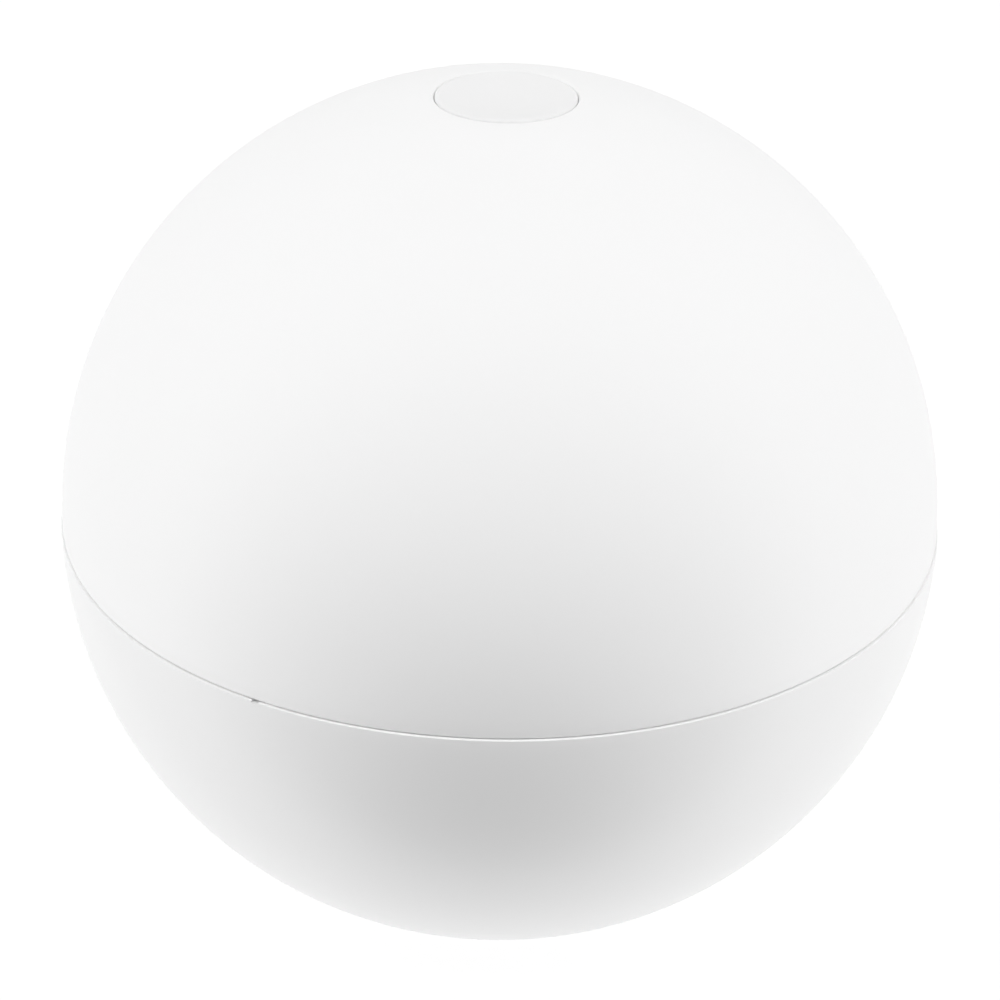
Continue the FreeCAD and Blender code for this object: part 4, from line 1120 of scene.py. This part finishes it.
seal = corner_rounded_ring("rim_seal_ring", "rim_seal", SEAL_INNER, 0.0003)
fit(coat(seal, SEAL_SILICONE), "base", "seal_silicone", "rim_seal")
gasket = corner_rounded_ring("deck_gasket_ring", "deck_gasket", SHELF_INNER, 0.0002)
fit(coat(gasket, SEAL_SILICONE), "base", "seal_silicone", "deck_gasket")
retainer = corner_rounded_ring("retainer_ring", "boot_retainer", RETAINER_INNER, 0.00025)
fit(coat(retainer, HOLDER_BLACK), "dome", "holder_black", "boot_retainer")

# ------------------------------------------------------------------ finishes of the other parts

for node, made in {
    "lamp_deck": REFLECTOR_WHITE,
    "led_board": WHITE_BOARD,
    "switch_column": POST_WHITE,
    "switch_holder": POST_WHITE,
    "switch_board": GREEN_BOARD,
    "push_switch": SWITCH_BLACK,
    "switch_plunger": PLUNGER_GREY,
    "battery_holder": HOLDER_BLACK,
    "battery_tabs": NICKEL,
    "battery_clamp": CLAMP_STEEL,
    "control_board": GREEN_BOARD,
    "charge_socket": SOCKET_STEEL,
    "port_gasket": SEAL_SILICONE,
    "switch_lead": LEAD_JACKET,
    "led_lead": LEAD_JACKET,
    "battery_leads": LEAD_JACKET,
}.items():
    coat(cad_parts[node], made)

# ------------------------------------------------------------------ camera

AIM = Vector((0, 0, CENTRE))
CAMERA_DISTANCE = 0.65
CAMERA_ELEVATION = math.radians(28.6)
CAMERA_ROLL = math.radians(0.9)
SENSOR_WIDTH = 36
FOCAL_LENGTH = 101.65
SHIFT = (0.0001, 0.0006)

camera_data = bpy.data.cameras.new("camera")
camera_data.sensor_width = SENSOR_WIDTH
camera_data.lens = FOCAL_LENGTH
camera_data.shift_x, camera_data.shift_y = SHIFT
camera = bpy.data.objects.new("camera", camera_data)
bpy.context.scene.collection.objects.link(camera)
back = Vector((0, -math.cos(CAMERA_ELEVATION), math.sin(CAMERA_ELEVATION)))
camera.location = AIM + back * CAMERA_DISTANCE
camera.rotation_euler = (math.pi / 2 - CAMERA_ELEVATION, 0, 0)
camera.rotation_euler.rotate_axis("Z", CAMERA_ROLL)
bpy.context.scene.camera = camera

# ------------------------------------------------------------------ floor and light

RING_TILT = math.radians(10)
RING_WIDTH = 0.4
RING_LIGHT = 4.15
DIM_LIGHT = 0.17
FRONT_LIGHT = 1.0
BACK_LIGHT = 0.8
FRONT_START = 0.55
BACK_START = 0.65
FLOOR_GLOW = 0.9
FLOOR_SHADED = 0.13


def seen_background(nodes, links):
    """One where a ray comes from the camera or through a gloss or glass surface."""
    path = nodes.new("ShaderNodeLightPath")
    total = path.outputs["Is Camera Ray"]
    for name in ("Is Glossy Ray", "Is Transmission Ray"):
        total = arithmetic(nodes, links, "MAXIMUM", total, path.outputs[name])
    return total


def choose(nodes, links, share, first, second, output):
    """The first shader where the share is 0 and the second where it is 1."""
    chosen = nodes.new("ShaderNodeMixShader")
    links.new(share, chosen.inputs[0])
    links.new(first.outputs[0], chosen.inputs[1])
    links.new(second.outputs[0], chosen.inputs[2])
    links.new(chosen.outputs[0], output.inputs["Surface"])


def towards(nodes, links, direction):
    """How nearly a part of the sky lies in a direction, from -1 to 1."""
    places = nodes.new("ShaderNodeTexCoord")
    product = nodes.new("ShaderNodeVectorMath")
    product.operation = "DOT_PRODUCT"
    links.new(places.outputs["Generated"], product.inputs[0])
    product.inputs[1].default_value = direction
    return product.outputs["Value"]


def pale_floor():
    """White where it is seen, with the light's faint shadow on it. Light that isn't on its way
    to the camera passes through, as through a lit glass table."""
    bpy.ops.object.select_all(action="DESELECT")
    bpy.ops.mesh.primitive_plane_add(size=30, location=(0, 0, 0))
    floor = bpy.context.object
    floor.name = "floor"
    made = bpy.data.materials.new("pale_floor")
    made.use_nodes = True
    nodes = made.node_tree.nodes
    links = made.node_tree.links
    nodes.clear()
    output = nodes.new("ShaderNodeOutputMaterial")
    glass = nodes.new("ShaderNodeBsdfTransparent")
    glow = nodes.new("ShaderNodeEmission")
    glow.inputs["Strength"].default_value = FLOOR_GLOW
    shaded = nodes.new("ShaderNodeBsdfDiffuse")
    shaded.inputs["Color"].default_value = (*shade(FLOOR_SHADED), 1)
    white = nodes.new("ShaderNodeAddShader")
    links.new(glow.outputs[0], white.inputs[0])
    links.new(shaded.outputs[0], white.inputs[1])
    side = nodes.new("ShaderNodeNewGeometry")
    above = nodes.new("ShaderNodeMath")
    above.operation = "SUBTRACT"
    above.inputs[0].default_value = 1.0
    links.new(side.outputs["Backfacing"], above.inputs[1])
    seen = arithmetic(nodes, links, "MULTIPLY", seen_background(nodes, links), above.outputs[0])
    choose(nodes, links, seen, glass, white, output)
    floor.data.materials.append(made)


def light_ring():
    """A broad white ring of light round the object, over the top, the sides and below, with
    dim openings in front and behind, and a little light through each of them."""
    world = bpy.data.worlds.new("light_ring")
    bpy.context.scene.world = world
    world.use_nodes = True
    nodes = world.node_tree.nodes
    links = world.node_tree.links
    nodes.clear()
    output = nodes.new("ShaderNodeOutputWorld")
    nearness = towards(nodes, links, (0, -math.cos(RING_TILT), -math.sin(RING_TILT)))
    from_ring = arithmetic(nodes, links, "ABSOLUTE", nearness)
    ring = ramp(nodes, links, from_ring, RING_LIGHT, DIM_LIGHT, 0.0, RING_WIDTH, smooth=True)
    front = ramp(nodes, links, nearness, 0.0, FRONT_LIGHT, FRONT_START, 1.0, smooth=True)
    back = ramp(nodes, links, towards(nodes, links, (0, 1, 0)), 0.0, BACK_LIGHT, BACK_START, 1.0,
                smooth=True)
    openings = arithmetic(nodes, links, "ADD", front, back)
    cloth = nodes.new("ShaderNodeBackground")
    links.new(arithmetic(nodes, links, "ADD", ring, openings), cloth.inputs["Strength"])
    white = nodes.new("ShaderNodeBackground")
    white.inputs["Color"].default_value = (1, 1, 1, 1)
    white.inputs["Strength"].default_value = 1.0
    choose(nodes, links, seen_background(nodes, links), cloth, white, output)


pale_floor()
light_ring()
bpy.context.scene.view_settings.view_transform = "Standard"
